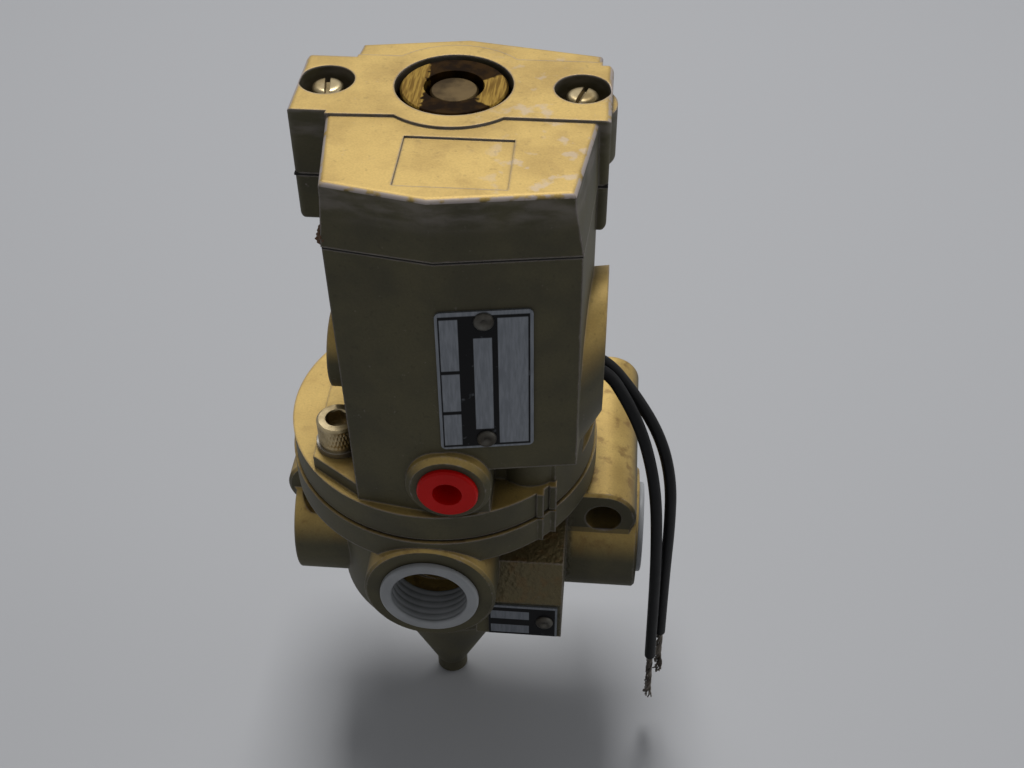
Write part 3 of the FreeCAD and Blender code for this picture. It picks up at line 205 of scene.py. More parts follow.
leadSetup = {
    "diameter": 2.8 * mm, "pointRadius": 1 * mm, "order": 3, "sideSteps": 5, "alongSteps": 16,
    # route points (x, y, z) in millimetres; seed starts the strands' random draws
    "inner": {
        "length": 118.9 * mm, "bared": 18.9 * mm, "seed": 11,
        "route": [(13.0, -47.6, 46.4), (21.9, -47.6, 46.4), (33.5, -47.6, 47.0), (40.0, -50.6, 37.3),
                  (44.1, -52.6, 27.5), (47.2, -54.4, 13.3), (48.6, -54.4, -6.0), (49.3, -54.4, -26.4),
                  (49.8, -54.4, -48.7)],
    },
    "outer": {
        "length": 114.2 * mm, "bared": 17.0 * mm, "seed": 16,
        "route": [(13.0, -44.0, 48.2), (23.0, -44.0, 48.2), (33.4, -44.0, 46.2), (40.9, -46.4, 37.4),
                  (47.2, -49.0, 27.4), (50.5, -51.2, 15.6), (51.4, -51.2, 0.1), (51.5, -51.2, -19.3),
                  (52.0, -51.2, -42.3)],
    },
}
strandSetup = {
    "count": 19, "wire": 0.19 * mm, "ring": 0.66 * mm, "pitch": 11.0 * mm,
    "samples": 60, "sides": 7, "splay": (-0.15, 0.7), "wander": 0.22 * mm,
    "shortest": 0.80,              # share of the bared length
    "core": 4, "coreShare": 0.45,  # wires near the middle, and how much of the ring they keep
    # sines of a wire's wander: share, length, turns of the wire's start angle
    "waves": ((1.0, 2.3 * mm, 3), (0.6, 0.9 * mm, 5)),
}


# A lead's route in metres.
def routePoints(lead):
    return np.array(lead["route"]) * mm


# A NURBS line of order 3 through the route's ends, with a round bevel: the wire's radius is the bevel's depth
# times the points' own radius, which also sets how far the curve's bounds reach.
def makeLead(name, lead):
    curve = bpy.data.curves.new(name, "CURVE")
    curve.dimensions = "3D"
    curve.bevel_depth = leadSetup["diameter"] / 2 / leadSetup["pointRadius"]
    curve.bevel_resolution = leadSetup["sideSteps"]
    curve.resolution_u = leadSetup["alongSteps"]
    curve.use_fill_caps = True
    points = routePoints(lead)
    line = curve.splines.new("NURBS")
    line.points.add(len(points) - 1)
    line.points.foreach_set("co", np.column_stack([points, np.ones(len(points))]).ravel())
    line.points.foreach_set("radius", np.full(len(points), leadSetup["pointRadius"]))
    line.order_u = leadSetup["order"]
    line.use_endpoint_u = True
    piece = bpy.data.objects.new(name, curve)
    scene.collection.objects.link(piece)
    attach(piece, "valve")
    return piece


# Round tubes: each point of a tube is its centre line's point plus its radius times a turning unit vector
# square to the line. Lines run mostly along Z, so the two square directions come from the X axis.
def sweptWires(centres, radii, sides):
    along = np.gradient(centres, axis=1)
    along /= np.linalg.norm(along, axis=2, keepdims=True)
    across = np.cross(along, [1.0, 0.0, 0.0])
    across /= np.linalg.norm(across, axis=2, keepdims=True)
    over = np.cross(across, along)
    angle = np.linspace(0, 2 * np.pi, sides, endpoint=False)
    ringed = (np.cos(angle)[None, None, :, None] * over[:, :, None, :]
              + np.sin(angle)[None, None, :, None] * across[:, :, None, :])
    points = centres[:, :, None, :] + radii[:, :, None, None] * ringed
    wires, samples = centres.shape[:2]
    wall = gridFaces(samples, sides, True)
    offset = (np.arange(wires) * samples * sides)[:, None, None]
    faces = (wall[None] + offset).reshape(-1, 4).tolist()
    low = np.arange(sides)[::-1]
    high = np.arange(sides) + (samples - 1) * sides
    for start in offset.ravel().tolist():
        faces.append((low + start).tolist())
        faces.append((high + start).tolist())
    return points.reshape(-1, 3), faces


# Fine wires laid as helices round the lead's last direction: radius grows with the cube of the way along, so
# that the bundle frays at its tip, and each wire wanders by two sines of its own.
def makeStrands(name, lead):
    setup = strandSetup
    draw = np.random.default_rng(lead["seed"])
    route = routePoints(lead)
    along = route[-1] - route[-2]
    along /= np.linalg.norm(along)
    side = np.cross(along, [0.0, 1.0, 0.0])
    side /= np.linalg.norm(side)
    front = np.cross(along, side)
    count, samples = setup["count"], setup["samples"]
    lengths = lead["bared"] * draw.uniform(setup["shortest"], 1.0, count)
    lengths[0] = lead["bared"]
    way = np.linspace(0, 1, samples)[None, :] * lengths[:, None]
    share = way / lead["bared"]
    layer = np.where(np.arange(count) < setup["core"], setup["coreShare"], 1.0)[:, None]
    splay = draw.uniform(*setup["splay"], count)[:, None]
    radius = setup["ring"] * layer * (1 + splay * share ** 3)
    start = draw.uniform(0, 2 * np.pi, count)[:, None]
    angle = start + 2 * np.pi * way / setup["pitch"]
    wander = sum(part * np.sin(way / long + start * turns) for part, long, turns in setup["waves"])
    radius = radius + setup["wander"] * share * wander
    centres = (route[-1] + way[..., None] * along + (radius * np.cos(angle))[..., None] * side
               + (radius * np.sin(angle))[..., None] * front)
    radii = np.full((count, samples), setup["wire"])
    points, faces = sweptWires(centres, radii, setup["sides"])
    return makePiece(name, points, faces, "valve")


leads = {}
for leadName in ("inner", "outer"):
    lead = leadSetup[leadName]
    wire = makeLead(leadName + "Lead", lead)
    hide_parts(leadName + "_lead")
    strands = makeStrands(leadName + "Strands", lead)
    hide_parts(leadName + "_lead_strands")
    leads[leadName] = (wire, strands)
print("leads made")

# turned pieces: a profile of (radius, height) swept round an axis


# Profile rows times evenly spread angles; radiusAt may change the radius by row and angle.
def turnedPoints(profile, columns, radiusAt=None):
    angle = np.linspace(0, 2 * np.pi, columns, endpoint=False)
    radius = np.repeat(profile[:, :1], columns, 1)
    if radiusAt is not None:
        radius = radiusAt(radius, profile[:, 1:2], angle[None, :])
    height = np.repeat(profile[:, 1:2], columns, 1)
    return np.stack([radius * np.cos(angle), radius * np.sin(angle), height], -1)


# Corners joined by straight runs of points about step apart.
def denseProfile(corners, step):
    corners = np.array(corners, float)
    runs = [corners[:1]]
    for start, end in zip(corners, corners[1:]):
        count = max(1, int(np.ceil(np.linalg.norm(end - start) / step)))
        runs.append(start + (end - start) * np.linspace(0, 1, count + 1)[1:, None])
    return np.concatenate(runs)


# Walls of count alike turned pieces laid one after another.
def turnedFaces(rows, columns, count):
    wall = gridFaces(rows, columns, True)
    return (wall[None] + (np.arange(count) * rows * columns)[:, None, None]).reshape(-1, 4)


# Copies of a grid of points, each moved to its place; axes are the three directions of its own frame.
def placedAt(points, places, axes=None):
    if axes is not None:
        points = points @ np.array(axes, float)
    return np.concatenate([(points + place).reshape(-1, 3) for place in places])


frontAxes = [(1, 0, 0), (0, 0, 1), (0, -1, 0)]
rightAxes = [(0, 1, 0), (0, 0, 1), (1, 0, 0)]

# flange bolts: knurled socket heads on plain shanks

boltSetup = {
    "spots": [(-25.4, -57.3), (-25.4, -21.9), (17.8, -57.3), (17.8, -21.9)],
    "seat": 29.65, "head": 4.76, "high": 6.35, "hex": 2.38, "deep": 3.2, "shank": 3.175, "long": 19.85,
    "knurls": 36, "knurlDeep": 0.22, "knurlLow": 0.7, "knurlHigh": 5.5, "knurlSlant": 0.42,
    "socketBevel": 0.35, "headBevel": 0.45, "near": 0.01, "columns": 144, "step": 0.35,
}


# Socket head screws. Crossed helices cut the head's side: depth times (one less the larger of the cosines of
# knurls times the angle plus and minus the height over the slant) over two. The socket's rows follow a
# hexagon: flat over the cosine of the angle from the nearest flat's middle.
def makeBolts(setup):
    head, high, flat = setup["head"], setup["high"], setup["hex"]
    inner, outer = setup["socketBevel"], setup["headBevel"]
    corners = [
        (0.0, high - setup["deep"]), (flat, high - setup["deep"]), (flat, high - inner), (flat + inner, high),
        (head - outer, high), (head, high - outer), (head, 0.0),
        (setup["shank"], 0.0), (setup["shank"], -setup["long"]), (0.0, -setup["long"])]
    profile = denseProfile(corners, setup["step"])

    def radiusAt(radius, height, angle):
        sector = np.pi / 3
        fromFlat = (angle + sector / 2) % sector - sector / 2
        socket = (radius <= flat + setup["near"]) & (height > 0)
        shaped = np.where(socket, radius / np.cos(fromFlat), radius)
        side = (radius > head - setup["near"]) & (height > setup["knurlLow"]) & (height < setup["knurlHigh"])
        turn = setup["knurls"] * angle
        slant = height / setup["knurlSlant"]
        ridge = np.maximum(np.cos(turn + slant), np.cos(turn - slant))
        return np.where(side, shaped - setup["knurlDeep"] * (0.5 - 0.5 * ridge), shaped)

    points = turnedPoints(profile, setup["columns"], radiusAt) * mm
    spots = [np.array([x, y, setup["seat"]]) * mm for x, y in setup["spots"]]
    faces = turnedFaces(len(profile), setup["columns"], len(spots))
    piece = makePiece("socketBolts", placedAt(points, spots), faces, "valve", 40)
    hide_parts("flange_bolts")
    return piece


bolts = makeBolts(boltSetup)

# cover screws: round heads with a cut slot

screwSetup = {
    # place (x, y) and the slot's angle in degrees
    "spots": [(-26.1, -29.0, 98.0), (26.1, -29.0, 75.0)],
    "top": 103.5, "seat": 99.2, "foot": 80.2, "head": 3.3, "shank": 2.0, "round": 0.75,
    "slot": 1.05, "deep": 1.5, "rows": 49, "columns": 45,
    "lip": 0.004,  # width of the slot's wall as a share of the head's radius
}


# Heads drawn on chords: a point's share along its chord times the chord's half length, and its chord's share
# of the radius. The height falls by round times the eighth power of the distance from the axis, and drops by
# the slot's depth where the chord lies within the slot.
def makeScrews(setup):
    half, lip = setup["slot"] / 2 / setup["head"], setup["lip"]
    walls = [-half - lip, -half, half, half + lip]
    chord = np.sort(np.concatenate([np.linspace(-1, 1, setup["columns"]), walls]))
    along = np.sin(np.linspace(-np.pi / 2, np.pi / 2, setup["rows"]))
    share, side = np.meshgrid(along, chord, indexing="ij")
    x, y = share * np.sqrt(1 - side ** 2), side
    height = setup["top"] - setup["round"] * (x ** 2 + y ** 2) ** 4
    height = np.where(np.abs(side) <= half + lip / 2, np.minimum(height, setup["top"] - setup["deep"]), height)
    face = np.stack([x * setup["head"], y * setup["head"], height], -1)
    rim = np.concatenate([face[-1], face[0, ::-1]])
    count = len(rim)
    loops = [rim]
    shank = setup["shank"] / setup["head"]
    for scale, level in ((1.0, setup["seat"]), (shank, setup["seat"]), (shank, setup["foot"])):
        loops.append(np.column_stack([rim[:, :2] * scale, np.full(count, level)]))
    points = np.concatenate([face.reshape(-1, 3)] + loops)
    start = face.shape[0] * face.shape[1]
    faces = gridFaces(face.shape[0], face.shape[1], False).tolist()
    faces += (gridFaces(len(loops), count, True) + start).tolist()
    faces.append(list(range(start + (len(loops) - 1) * count, start + len(loops) * count)))
    copies, drawn = [], []
    for index, (right, back, turn) in enumerate(setup["spots"]):
        level, upright = math.cos(math.radians(turn)), math.sin(math.radians(turn))
        turned = points @ np.array([(level, upright, 0), (-upright, level, 0), (0, 0, 1)])
        copies.append(turned + (right, back, 0))
        drawn += [[corner + index * len(points) for corner in quad] for quad in faces]
    piece = makePiece("slottedScrews", np.concatenate(copies) * mm, drawn, "valve", 30)
    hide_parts("cover_screws")
    return piece


screws = makeScrews(screwSetup)

# a scrap of old sealing varnish squeezed out at the cover's front left corner

scrapSetup = {
    "place": (-21.75, -64.8, 91.8), "columns": 40, "step": 0.15,
    "profile": [(0.0, -2.4), (0.6, -2.0), (1.0, -1.0), (0.8, 0.2), (0.55, 1.2), (0.25, 2.1), (0.0, 2.4)],
    # sines of the swelling: share of the radius, turns round, turn for each millimetre up
    "waves": ((0.22, 3, 2.2), (0.14, 7, -4.1)),
}


# A spindle whose radius swells by two sines of the angle and the height.
def makeScrap(setup):
    profile = denseProfile(setup["profile"], setup["step"])

    def radiusAt(radius, height, angle):
        swell = sum(part * np.sin(turns * angle + rise * height) for part, turns, rise in setup["waves"])
        return radius * (1 + swell)

    points = turnedPoints(profile, setup["columns"], radiusAt) * mm
    faces = turnedFaces(len(profile), setup["columns"], 1)
    return makePiece("varnishScrap", placedAt(points, [np.array(setup["place"]) * mm]), faces, "valve",
                     180)


scrap = makeScrap(scrapSetup)

# rivets: domed heads with a shallow dimple

rivetSetup = {
    "profile": [(0.0, 0.42), (0.35, 0.45), (0.62, 0.62), (0.9, 0.86), (1.25, 0.92), (1.6, 0.80), (1.92, 0.52),
                (2.08, 0.22), (2.1, 0.0), (1.1, 0.0), (1.1, -0.5), (0.0, -0.5)],
    "columns": 48, "apart": 5 * mm, "beyond": 1 * mm,
}
forwardLimit = -0.8  # a normal's y, past which a face looks to the front


# A flat plate's own frame from its mesh: the widest flat face's normal, and level and upright in it.
def nodeAxes(node):
    mesh = node.data
    areas = np.empty(len(mesh.polygons))
    normals = np.empty(len(mesh.polygons) * 3)
    mesh.polygons.foreach_get("area", areas)
    mesh.polygons.foreach_get("normal", normals)
    normals = normals.reshape(-1, 3)
    forward = normals[:, 1] < forwardLimit
    out = normals[forward][np.argmax(areas[forward])]
    level = np.cross([0.0, 0.0, 1.0], out)
    level /= np.linalg.norm(level)
    return level, np.cross(out, level), out


# A node's points as rows of x, y and z.
def nodePoints(node):
    points = np.empty(len(node.data.vertices) * 3)
    node.data.vertices.foreach_get("co", points)
    return points.reshape(-1, 3)


# One domed head for each rivet of a node, found as the loose groups of its points along the plate.
def makeRivets(name, node, plate):
    level, upright, out = nodeAxes(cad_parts[plate])
    points = nodePoints(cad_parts[node])
    along = points @ upright
    cuts = np.flatnonzero(np.diff(np.sort(along)) > rivetSetup["apart"])
    limits = np.concatenate([[-np.inf], np.sort(along)[cuts] + rivetSetup["beyond"], [np.inf]])
    face = (nodePoints(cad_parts[plate]) @ out).max()
    shape = turnedPoints(np.array(rivetSetup["profile"]), rivetSetup["columns"]) * mm
    places = []
    for low, high in zip(limits, limits[1:]):
        group = points[(along > low) & (along <= high)]
        across = [(group @ a).min() / 2 + (group @ a).max() / 2 for a in (level, upright)]
        places.append(across[0] * level + across[1] * upright + face * out)
    faces = turnedFaces(shape.shape[0], shape.shape[1], len(places))
    piece = makePiece(name, placedAt(shape, places, (level, upright, out)), faces, "valve")
    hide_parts(node)
    return piece


rivets = [makeRivets("plateRivets", "data_plate_rivets", "data_plate"),
          makeRivets("tagRivet", "body_plate_rivet", "body_plate")]

# port guards: thin sleeves with the thread's ridges moulded inside

guardSetup = {"flange": 11.4, "thick": 1.4, "outside": 9.08, "inside": 8.72, "deep": 8.0,
              "ridge": 0.16, "pitch": 1.81, "ridgesTo": 0.6, "near": 0.01, "columns": 120, "step": 0.18,
              # broken corners, as steps from the mouth's, the flange's top and the flange's foot corner
              "mouth": [(0.0, -0.5), (0.15, -0.15), (0.5, 0.0)], "rim": [(-0.45, 0.0), (-0.1, -0.2), (0.0, -0.6)],
              "foot": [(0.0, 0.2), (-0.2, 0.0)]}


# A sleeve and its flange. Inside, the wall moves out by ridge times the square of (one plus the cosine of the
# turn) over two; the turn is the height over the pitch in whole rounds, plus the angle, as in a thread.
def makeGuard(name, node, place, axes):
    setup = guardSetup
    flange, thick, inside, outside = setup["flange"], setup["thick"], setup["inside"], setup["outside"]
    corners = [(inside, -setup["deep"])]
    for corner, radius, height in (("mouth", inside, thick), ("rim", flange, thick), ("foot", flange, 0.0)):
        corners += [(radius + out, height + up) for out, up in setup[corner]]
    corners += [(outside, 0.0), (outside, -setup["deep"]), (inside, -setup["deep"])]
    profile = denseProfile(corners, setup["step"])

    def radiusAt(radius, height, angle):
        inner = (radius < inside + setup["near"]) & (height < setup["ridgesTo"])
        turn = 2 * np.pi * height / setup["pitch"] + angle
        return np.where(inner, radius + setup["ridge"] * (0.5 + 0.5 * np.cos(turn)) ** 2, radius + 0 * angle)

    points = turnedPoints(profile, setup["columns"], radiusAt) * mm
    faces = turnedFaces(len(profile), setup["columns"], 1)
    piece = makePiece(name, placedAt(points, [np.array(place) * mm], axes), faces, "valve", 60)
    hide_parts(node)
    return piece


guards = [makeGuard("frontGuard", "front_port_guard", (-3.8, -77.0, 0.0), frontAxes),
          makeGuard("rightGuard", "right_port_guard", (44.0, -39.6, -14.5), rightAxes)]
print("bolts, rivets and guards made")

# shared effects


# An empty node group with its sockets; inputs give name, kind and value, outputs name and kind.
def newGroup(name, inputs, outputs):
    group = bpy.data.node_groups.new(name, "ShaderNodeTree")
    for socket, kind, value in inputs:
        made = group.interface.new_socket(name=socket, in_out="INPUT", socket_type=kind)
        made.default_value = value
    for socket, kind in outputs:
        group.interface.new_socket(name=socket, in_out="OUTPUT", socket_type=kind)
    return group, addNode(group, "NodeGroupInput"), addNode(group, "NodeGroupOutput")


# A value between low and high becomes start to end, with a smooth turn at both.
def ramp(tree, value, low, high, start=0.0, end=1.0):
    node = addNode(tree, "ShaderNodeMapRange", interpolation_type="SMOOTHSTEP")
    tree.links.new(value, node.inputs[0])
    for place, number in enumerate((low, high, start, end), start=1):
        node.inputs[place].default_value = number
    return node.outputs[0]


# One colour mixed to another by a mask; a colour is a socket or four numbers.
def blend(tree, mask, first, second):
    node = addNode(tree, "ShaderNodeMix", data_type="RGBA")
    for place, value in ((0, mask), (6, first), (7, second)):
        if isinstance(value, (tuple, float)):
            node.inputs[place].default_value = value
        else:
            tree.links.new(value, node.inputs[place])
    return node.outputs[2]


skinSetup = {
    # noises: share of the grain's scale, detail
    "noises": {"fine": (1.0, 3.0), "coarse": (0.22, 2.0), "slow": (0.05, 4.0), "speck": (0.45, 1.0)},
    "fineShare": 0.45, "coarseShare": 0.55, "mottle": (0.3, 0.7), "specks": (0.66, 0.74),
}
raySamples = 4


# Cast skin: fine and coarse noise added up as a height, slow noise as a mottle, rare peaks as pits.
def makeCastSkinGroup():
    group, source, sink = newGroup(
        "castSkin", [("Grain", "NodeSocketFloat", 0.6)],
        [("Height", "NodeSocketFloat"), ("Mottle", "NodeSocketFloat"), ("Specks", "NodeSocketFloat")])
    place = addNode(group, "ShaderNodeTexCoord").outputs["Object"]
    scale = maths(group, "DIVIDE", perMetre, source.outputs["Grain"])
    noises = {}
    for name, (factor, detail) in skinSetup["noises"].items():
        noise = addNode(group, "ShaderNodeTexNoise")
        noise.inputs["Detail"].default_value = detail
        group.links.new(place, noise.inputs["Vector"])
        group.links.new(maths(group, "MULTIPLY", scale, factor), noise.inputs["Scale"])
        noises[name] = noise.outputs["Fac"]
    height = maths(group, "ADD", maths(group, "MULTIPLY", noises["fine"], skinSetup["fineShare"]),
                   maths(group, "MULTIPLY", noises["coarse"], skinSetup["coarseShare"]))
    group.links.new(height, sink.inputs["Height"])
    group.links.new(ramp(group, noises["slow"], *skinSetup["mottle"]), sink.inputs["Mottle"])
    group.links.new(ramp(group, noises["speck"], *skinSetup["specks"]), sink.inputs["Specks"])
    return group


# Edges: a normal averaged over a small radius, and its lean, one less its dot product with the true normal.
def makeEdgeGroup():
    group, source, sink = newGroup(
        "edges", [("Radius", "NodeSocketFloat", 0.0006)],
        [("Lean", "NodeSocketFloat"), ("Normal", "NodeSocketVector")])
    rounded = addNode(group, "ShaderNodeBevel", samples=raySamples)
    group.links.new(source.outputs["Radius"], rounded.inputs["Radius"])
    geometry = addNode(group, "ShaderNodeNewGeometry")
    dot = addNode(group, "ShaderNodeVectorMath", operation="DOT_PRODUCT")
    group.links.new(rounded.outputs[0], dot.inputs[0])
    group.links.new(geometry.outputs["Normal"], dot.inputs[1])
    group.links.new(maths(group, "SUBTRACT", 1.0, dot.outputs["Value"], clamp=True), sink.inputs["Lean"])
    group.links.new(rounded.outputs[0], sink.inputs["Normal"])
    return group


# Upward faces: the normal's Z between two levels becomes a mask from 0 to 1.
def makeFacingGroup():
    group, source, sink = newGroup(
        "facingUp", [("Low", "NodeSocketFloat", 0.1), ("High", "NodeSocketFloat", 0.7)],
        [("Mask", "NodeSocketFloat")])
    geometry = addNode(group, "ShaderNodeNewGeometry")
    parts = addNode(group, "ShaderNodeSeparateXYZ")
    group.links.new(geometry.outputs["Normal"], parts.inputs[0])
    node = addNode(group, "ShaderNodeMapRange", interpolation_type="SMOOTHSTEP")
    group.links.new(parts.outputs["Z"], node.inputs[0])
    group.links.new(source.outputs["Low"], node.inputs[1])
    group.links.new(source.outputs["High"], node.inputs[2])
    group.links.new(node.outputs[0], sink.inputs["Mask"])
    return group


groups = {"castSkin": makeCastSkinGroup(), "edges": makeEdgeGroup(), "facingUp": makeFacingGroup()}


# A shared effect's node in a material, with its inputs set by name.
def useNode(tree, name, **values):
    node = addNode(tree, "ShaderNodeGroup", node_tree=groups[name])
    for socket, value in values.items():
        node.inputs[socket].default_value = value
    return node


# The outputs of a shared effect.
def useGroup(tree, name, **values):
    return useNode(tree, name, **values).outputs


# A height turned to a normal; the normal it starts from may be none.
def bump(tree, height, normal, strength, depth):
    node = addNode(tree, "ShaderNodeBump")
    node.inputs["Strength"].default_value = strength
    node.inputs["Distance"].default_value = depth
    tree.links.new(height, node.inputs["Height"])
    if normal is not None:
        tree.links.new(normal, node.inputs["Normal"])
    return node.outputs[0]


# finishes

castingFinish = {
    # the top colours are painted light, a lit gold for upward faces; the side colours are painted shade, an
    # olive-brown for upright faces and hollows
    "top": (196, 166, 96), "side": (92, 87, 64), "litTopDark": (176, 146, 80), "shadedSideDark": (76, 72, 54),
    "bare": (182, 172, 170), "dirtAndShade": (44, 38, 28), "grain": 0.55, "rounding": 0.75 * mm,
    "wearFrom": 0.07, "wearTo": 0.16, "roughTop": 0.46, "roughSide": 0.56, "metal": 0.45,
    # the dark colour serves both the dirt specks and flecks and the painted shade in inner corners
    "relief": 0.06 * mm, "shelter": 1.3 * mm, "hollow": 9.0 * mm, "specks": 0.16, "sandedAndShaded": (84, 79, 60),
    # the sanded colour is a painted shade, the olive side tone laid on the pad
    "stain": (112, 78, 38), "flecks": 0.10, "grainBump": 0.6, "mottleDull": 0.08, "ragged": 0.5,
    # ranges over which a mask goes from none to all
    "upLow": 0.15, "upHigh": 0.75, "exposed": (0.45, 0.9), "openSky": (0.2, 0.5),
    # clouds: size in millimetres, detail; and the ranges cut from them
    "sandCloud": (1.1, 2.0), "sandShadeShare": 0.8, "sandRise": 16.0, "sandFade": 1.5,
    "stainCloud": (3.2, 9.0), "stainRange": (0.52, 0.68), "fleckCloud": (0.45, 2.0), "fleckRange": (0.35, 0.65),
}
# wear on the cover: ranges of the normal's z, of height and of x, and of clouds (size, detail, stretch)
wearSetup = {
    "brokenCloud": (2.4,), "brokenRange": (0.34, 0.5),
    "arrisFrom": (0.18, 0.34), "arrisTo": (0.80, 0.97), "arrisHigh": (90.0, 96.0),
    "smearLean": (0.3, 0.12), "smearHigh": (95.0, 100.5),
    "smearCloud": (2.5, 6.0, (3.0, 3.0, 1.0)), "smearRange": (0.35, 0.70),
    "patchLean": (0.9, 0.98), "patchPlace": (4.0, 16.0), "patchCloud": (4.5, 8.0), "patchRange": (0.57, 0.66),
}


# The point's own x, y and z in millimetres, as three values.
def heights(tree):
    scaled = addNode(tree, "ShaderNodeVectorMath", operation="SCALE")
    scaled.inputs["Scale"].default_value = perMetre
    tree.links.new(addNode(tree, "ShaderNodeTexCoord").outputs["Object"], scaled.inputs[0])
    parts = addNode(tree, "ShaderNodeSeparateXYZ")
    tree.links.new(scaled.outputs[0], parts.inputs[0])
    return parts.outputs[0], parts.outputs[1], parts.outputs[2]


# Noise with blobs about size millimetres across; stretch multiplies it along x, y and z.
def cloud(tree, size, detail=3.0, stretch=None):
    noise = addNode(tree, "ShaderNodeTexNoise")
    noise.inputs["Scale"].default_value = perMetre / size
    noise.inputs["Detail"].default_value = detail
    place = addNode(tree, "ShaderNodeTexCoord").outputs["Object"]
    if stretch:
        scaled = addNode(tree, "ShaderNodeVectorMath", operation="DIVIDE")
        scaled.inputs[1].default_value = stretch
        tree.links.new(place, scaled.inputs[0])
        place = scaled.outputs[0]
    tree.links.new(place, noise.inputs["Vector"])
    return noise.outputs["Fac"]


# Values and numbers multiplied together.
def product(tree, first, *others):
    for other in others:
        first = maths(tree, "MULTIPLY", first, other)
    return first


# Gold-coloured conversion coat on a casting, with painted light: a lit brassy colour where it faces up and lies
# open, a shaded olive-brown on upright faces and in hollows, painted shade in inner corners, and wear to bare
# alloy on proud edges. What lies in sandBox, which holds x, y and z ranges in millimetres, gets a coarse
# sand-cast grain and a painted shade in the side's olive tone.
def makeCasting(name, finish, wear, sandBox=None):
    made, tree, shader = newMaterial(name)
    skin = useGroup(tree, "castSkin", Grain=finish["grain"])
    edges = useGroup(tree, "edges", Radius=finish["rounding"])
    up = useGroup(tree, "facingUp", Low=finish["upLow"], High=finish["upHigh"])["Mask"]
    shelter = addNode(tree, "ShaderNodeAmbientOcclusion", samples=raySamples)
    shelter.inputs["Distance"].default_value = finish["shelter"]
    exposed = ramp(tree, shelter.outputs["AO"], *finish["exposed"])
    # painted shade in hollows: a long ray test takes the lit top colour out of bores and deep recesses
    hollow = addNode(tree, "ShaderNodeAmbientOcclusion", samples=raySamples)
    hollow.inputs["Distance"].default_value = finish["hollow"]
    up = maths(tree, "MULTIPLY", up, ramp(tree, hollow.outputs["AO"], *finish["openSky"]))
    # painted light: upward faces open to the sky take the lit top colour, upright faces and hollows take the
    # shaded side colour
    top = blend(tree, skin["Mottle"], colour(*finish["litTopDark"]), colour(*finish["top"]))
    side = blend(tree, skin["Mottle"], colour(*finish["shadedSideDark"]), colour(*finish["side"]))
    coatWithPaintedLight = blend(tree, up, side, top)
    height = skin["Height"]
    if sandBox:
        # painted shade on the pad: its faces take the olive side tone, and it also gets a coarse sand grain in
        # its bump
        sandedAndShaded = boxed(tree, sandBox, finish["sandFade"])
        coatWithPaintedLight = blend(tree, maths(tree, "MULTIPLY", sandedAndShaded, finish["sandShadeShare"]), coatWithPaintedLight, colour(*finish["sandedAndShaded"]))
        sand = maths(tree, "SUBTRACT", cloud(tree, *finish["sandCloud"]), 0.5)
        height = maths(tree, "ADD", height, product(tree, sandedAndShaded, sand, finish["sandRise"]))
    coatWithPaintedLight = blend(tree, maths(tree, "MULTIPLY", skin["Specks"], finish["specks"]), coatWithPaintedLight, colour(*finish["dirtAndShade"]))
    stained = ramp(tree, cloud(tree, *finish["stainCloud"]), *finish["stainRange"])
    stained = product(tree, up, stained, wear["stain"])
    coatWithPaintedLight = blend(tree, stained, coatWithPaintedLight, colour(*finish["stain"]))
    fleck = ramp(tree, cloud(tree, *finish["fleckCloud"]), *finish["fleckRange"], 1.0, 0.0)
    flecked = maths(tree, "MULTIPLY", fleck, finish["flecks"])
    coatWithPaintedLight = blend(tree, flecked, coatWithPaintedLight, colour(*finish["dirtAndShade"]))
    # painted shade: inner corners, where a short ray test finds cover, darken towards the dark colour
    corner = maths(tree, "MULTIPLY", maths(tree, "SUBTRACT", 1.0, exposed), wear["corner"])
    coatWithPaintedLight = blend(tree, corner, coatWithPaintedLight, colour(*finish["dirtAndShade"]))
    rise = maths(tree, "SUBTRACT", skin["Height"], 0.5)
    ragged = maths(tree, "ADD", edges["Lean"], maths(tree, "MULTIPLY", rise, finish["ragged"]))
    worn = ramp(tree, ragged, finish["wearFrom"], finish["wearTo"])
    worn = product(tree, worn, exposed, wear["edges"])
    if "arris" in wear:
        worn = maths(tree, "MAXIMUM", worn, coverWear(tree, wear))
    tree.links.new(blend(tree, worn, coatWithPaintedLight, colour(*finish["bare"])), shader.inputs["Base Color"])
    dull = maths(tree, "ADD", ramp(tree, up, 0.0, 1.0, finish["roughSide"], finish["roughTop"]),
                 maths(tree, "MULTIPLY", skin["Mottle"], finish["mottleDull"]))
    tree.links.new(dull, shader.inputs["Roughness"])
    shader.inputs["Metallic"].default_value = finish["metal"]
    raised = bump(tree, height, edges["Normal"], finish["grainBump"], finish["relief"])
    tree.links.new(raised, shader.inputs["Normal"])
    return made


# One inside a box of x, y and z ranges, fading over soft millimetres outside it.
def boxed(tree, box, soft):
    mask = 1.0
    for value, (low, high) in zip(heights(tree), box):
        mask = maths(tree, "MULTIPLY", ramp(tree, value, low - soft, low), mask)
        mask = maths(tree, "MULTIPLY", mask, ramp(tree, value, high, high + soft, 1.0, 0.0))
    return mask


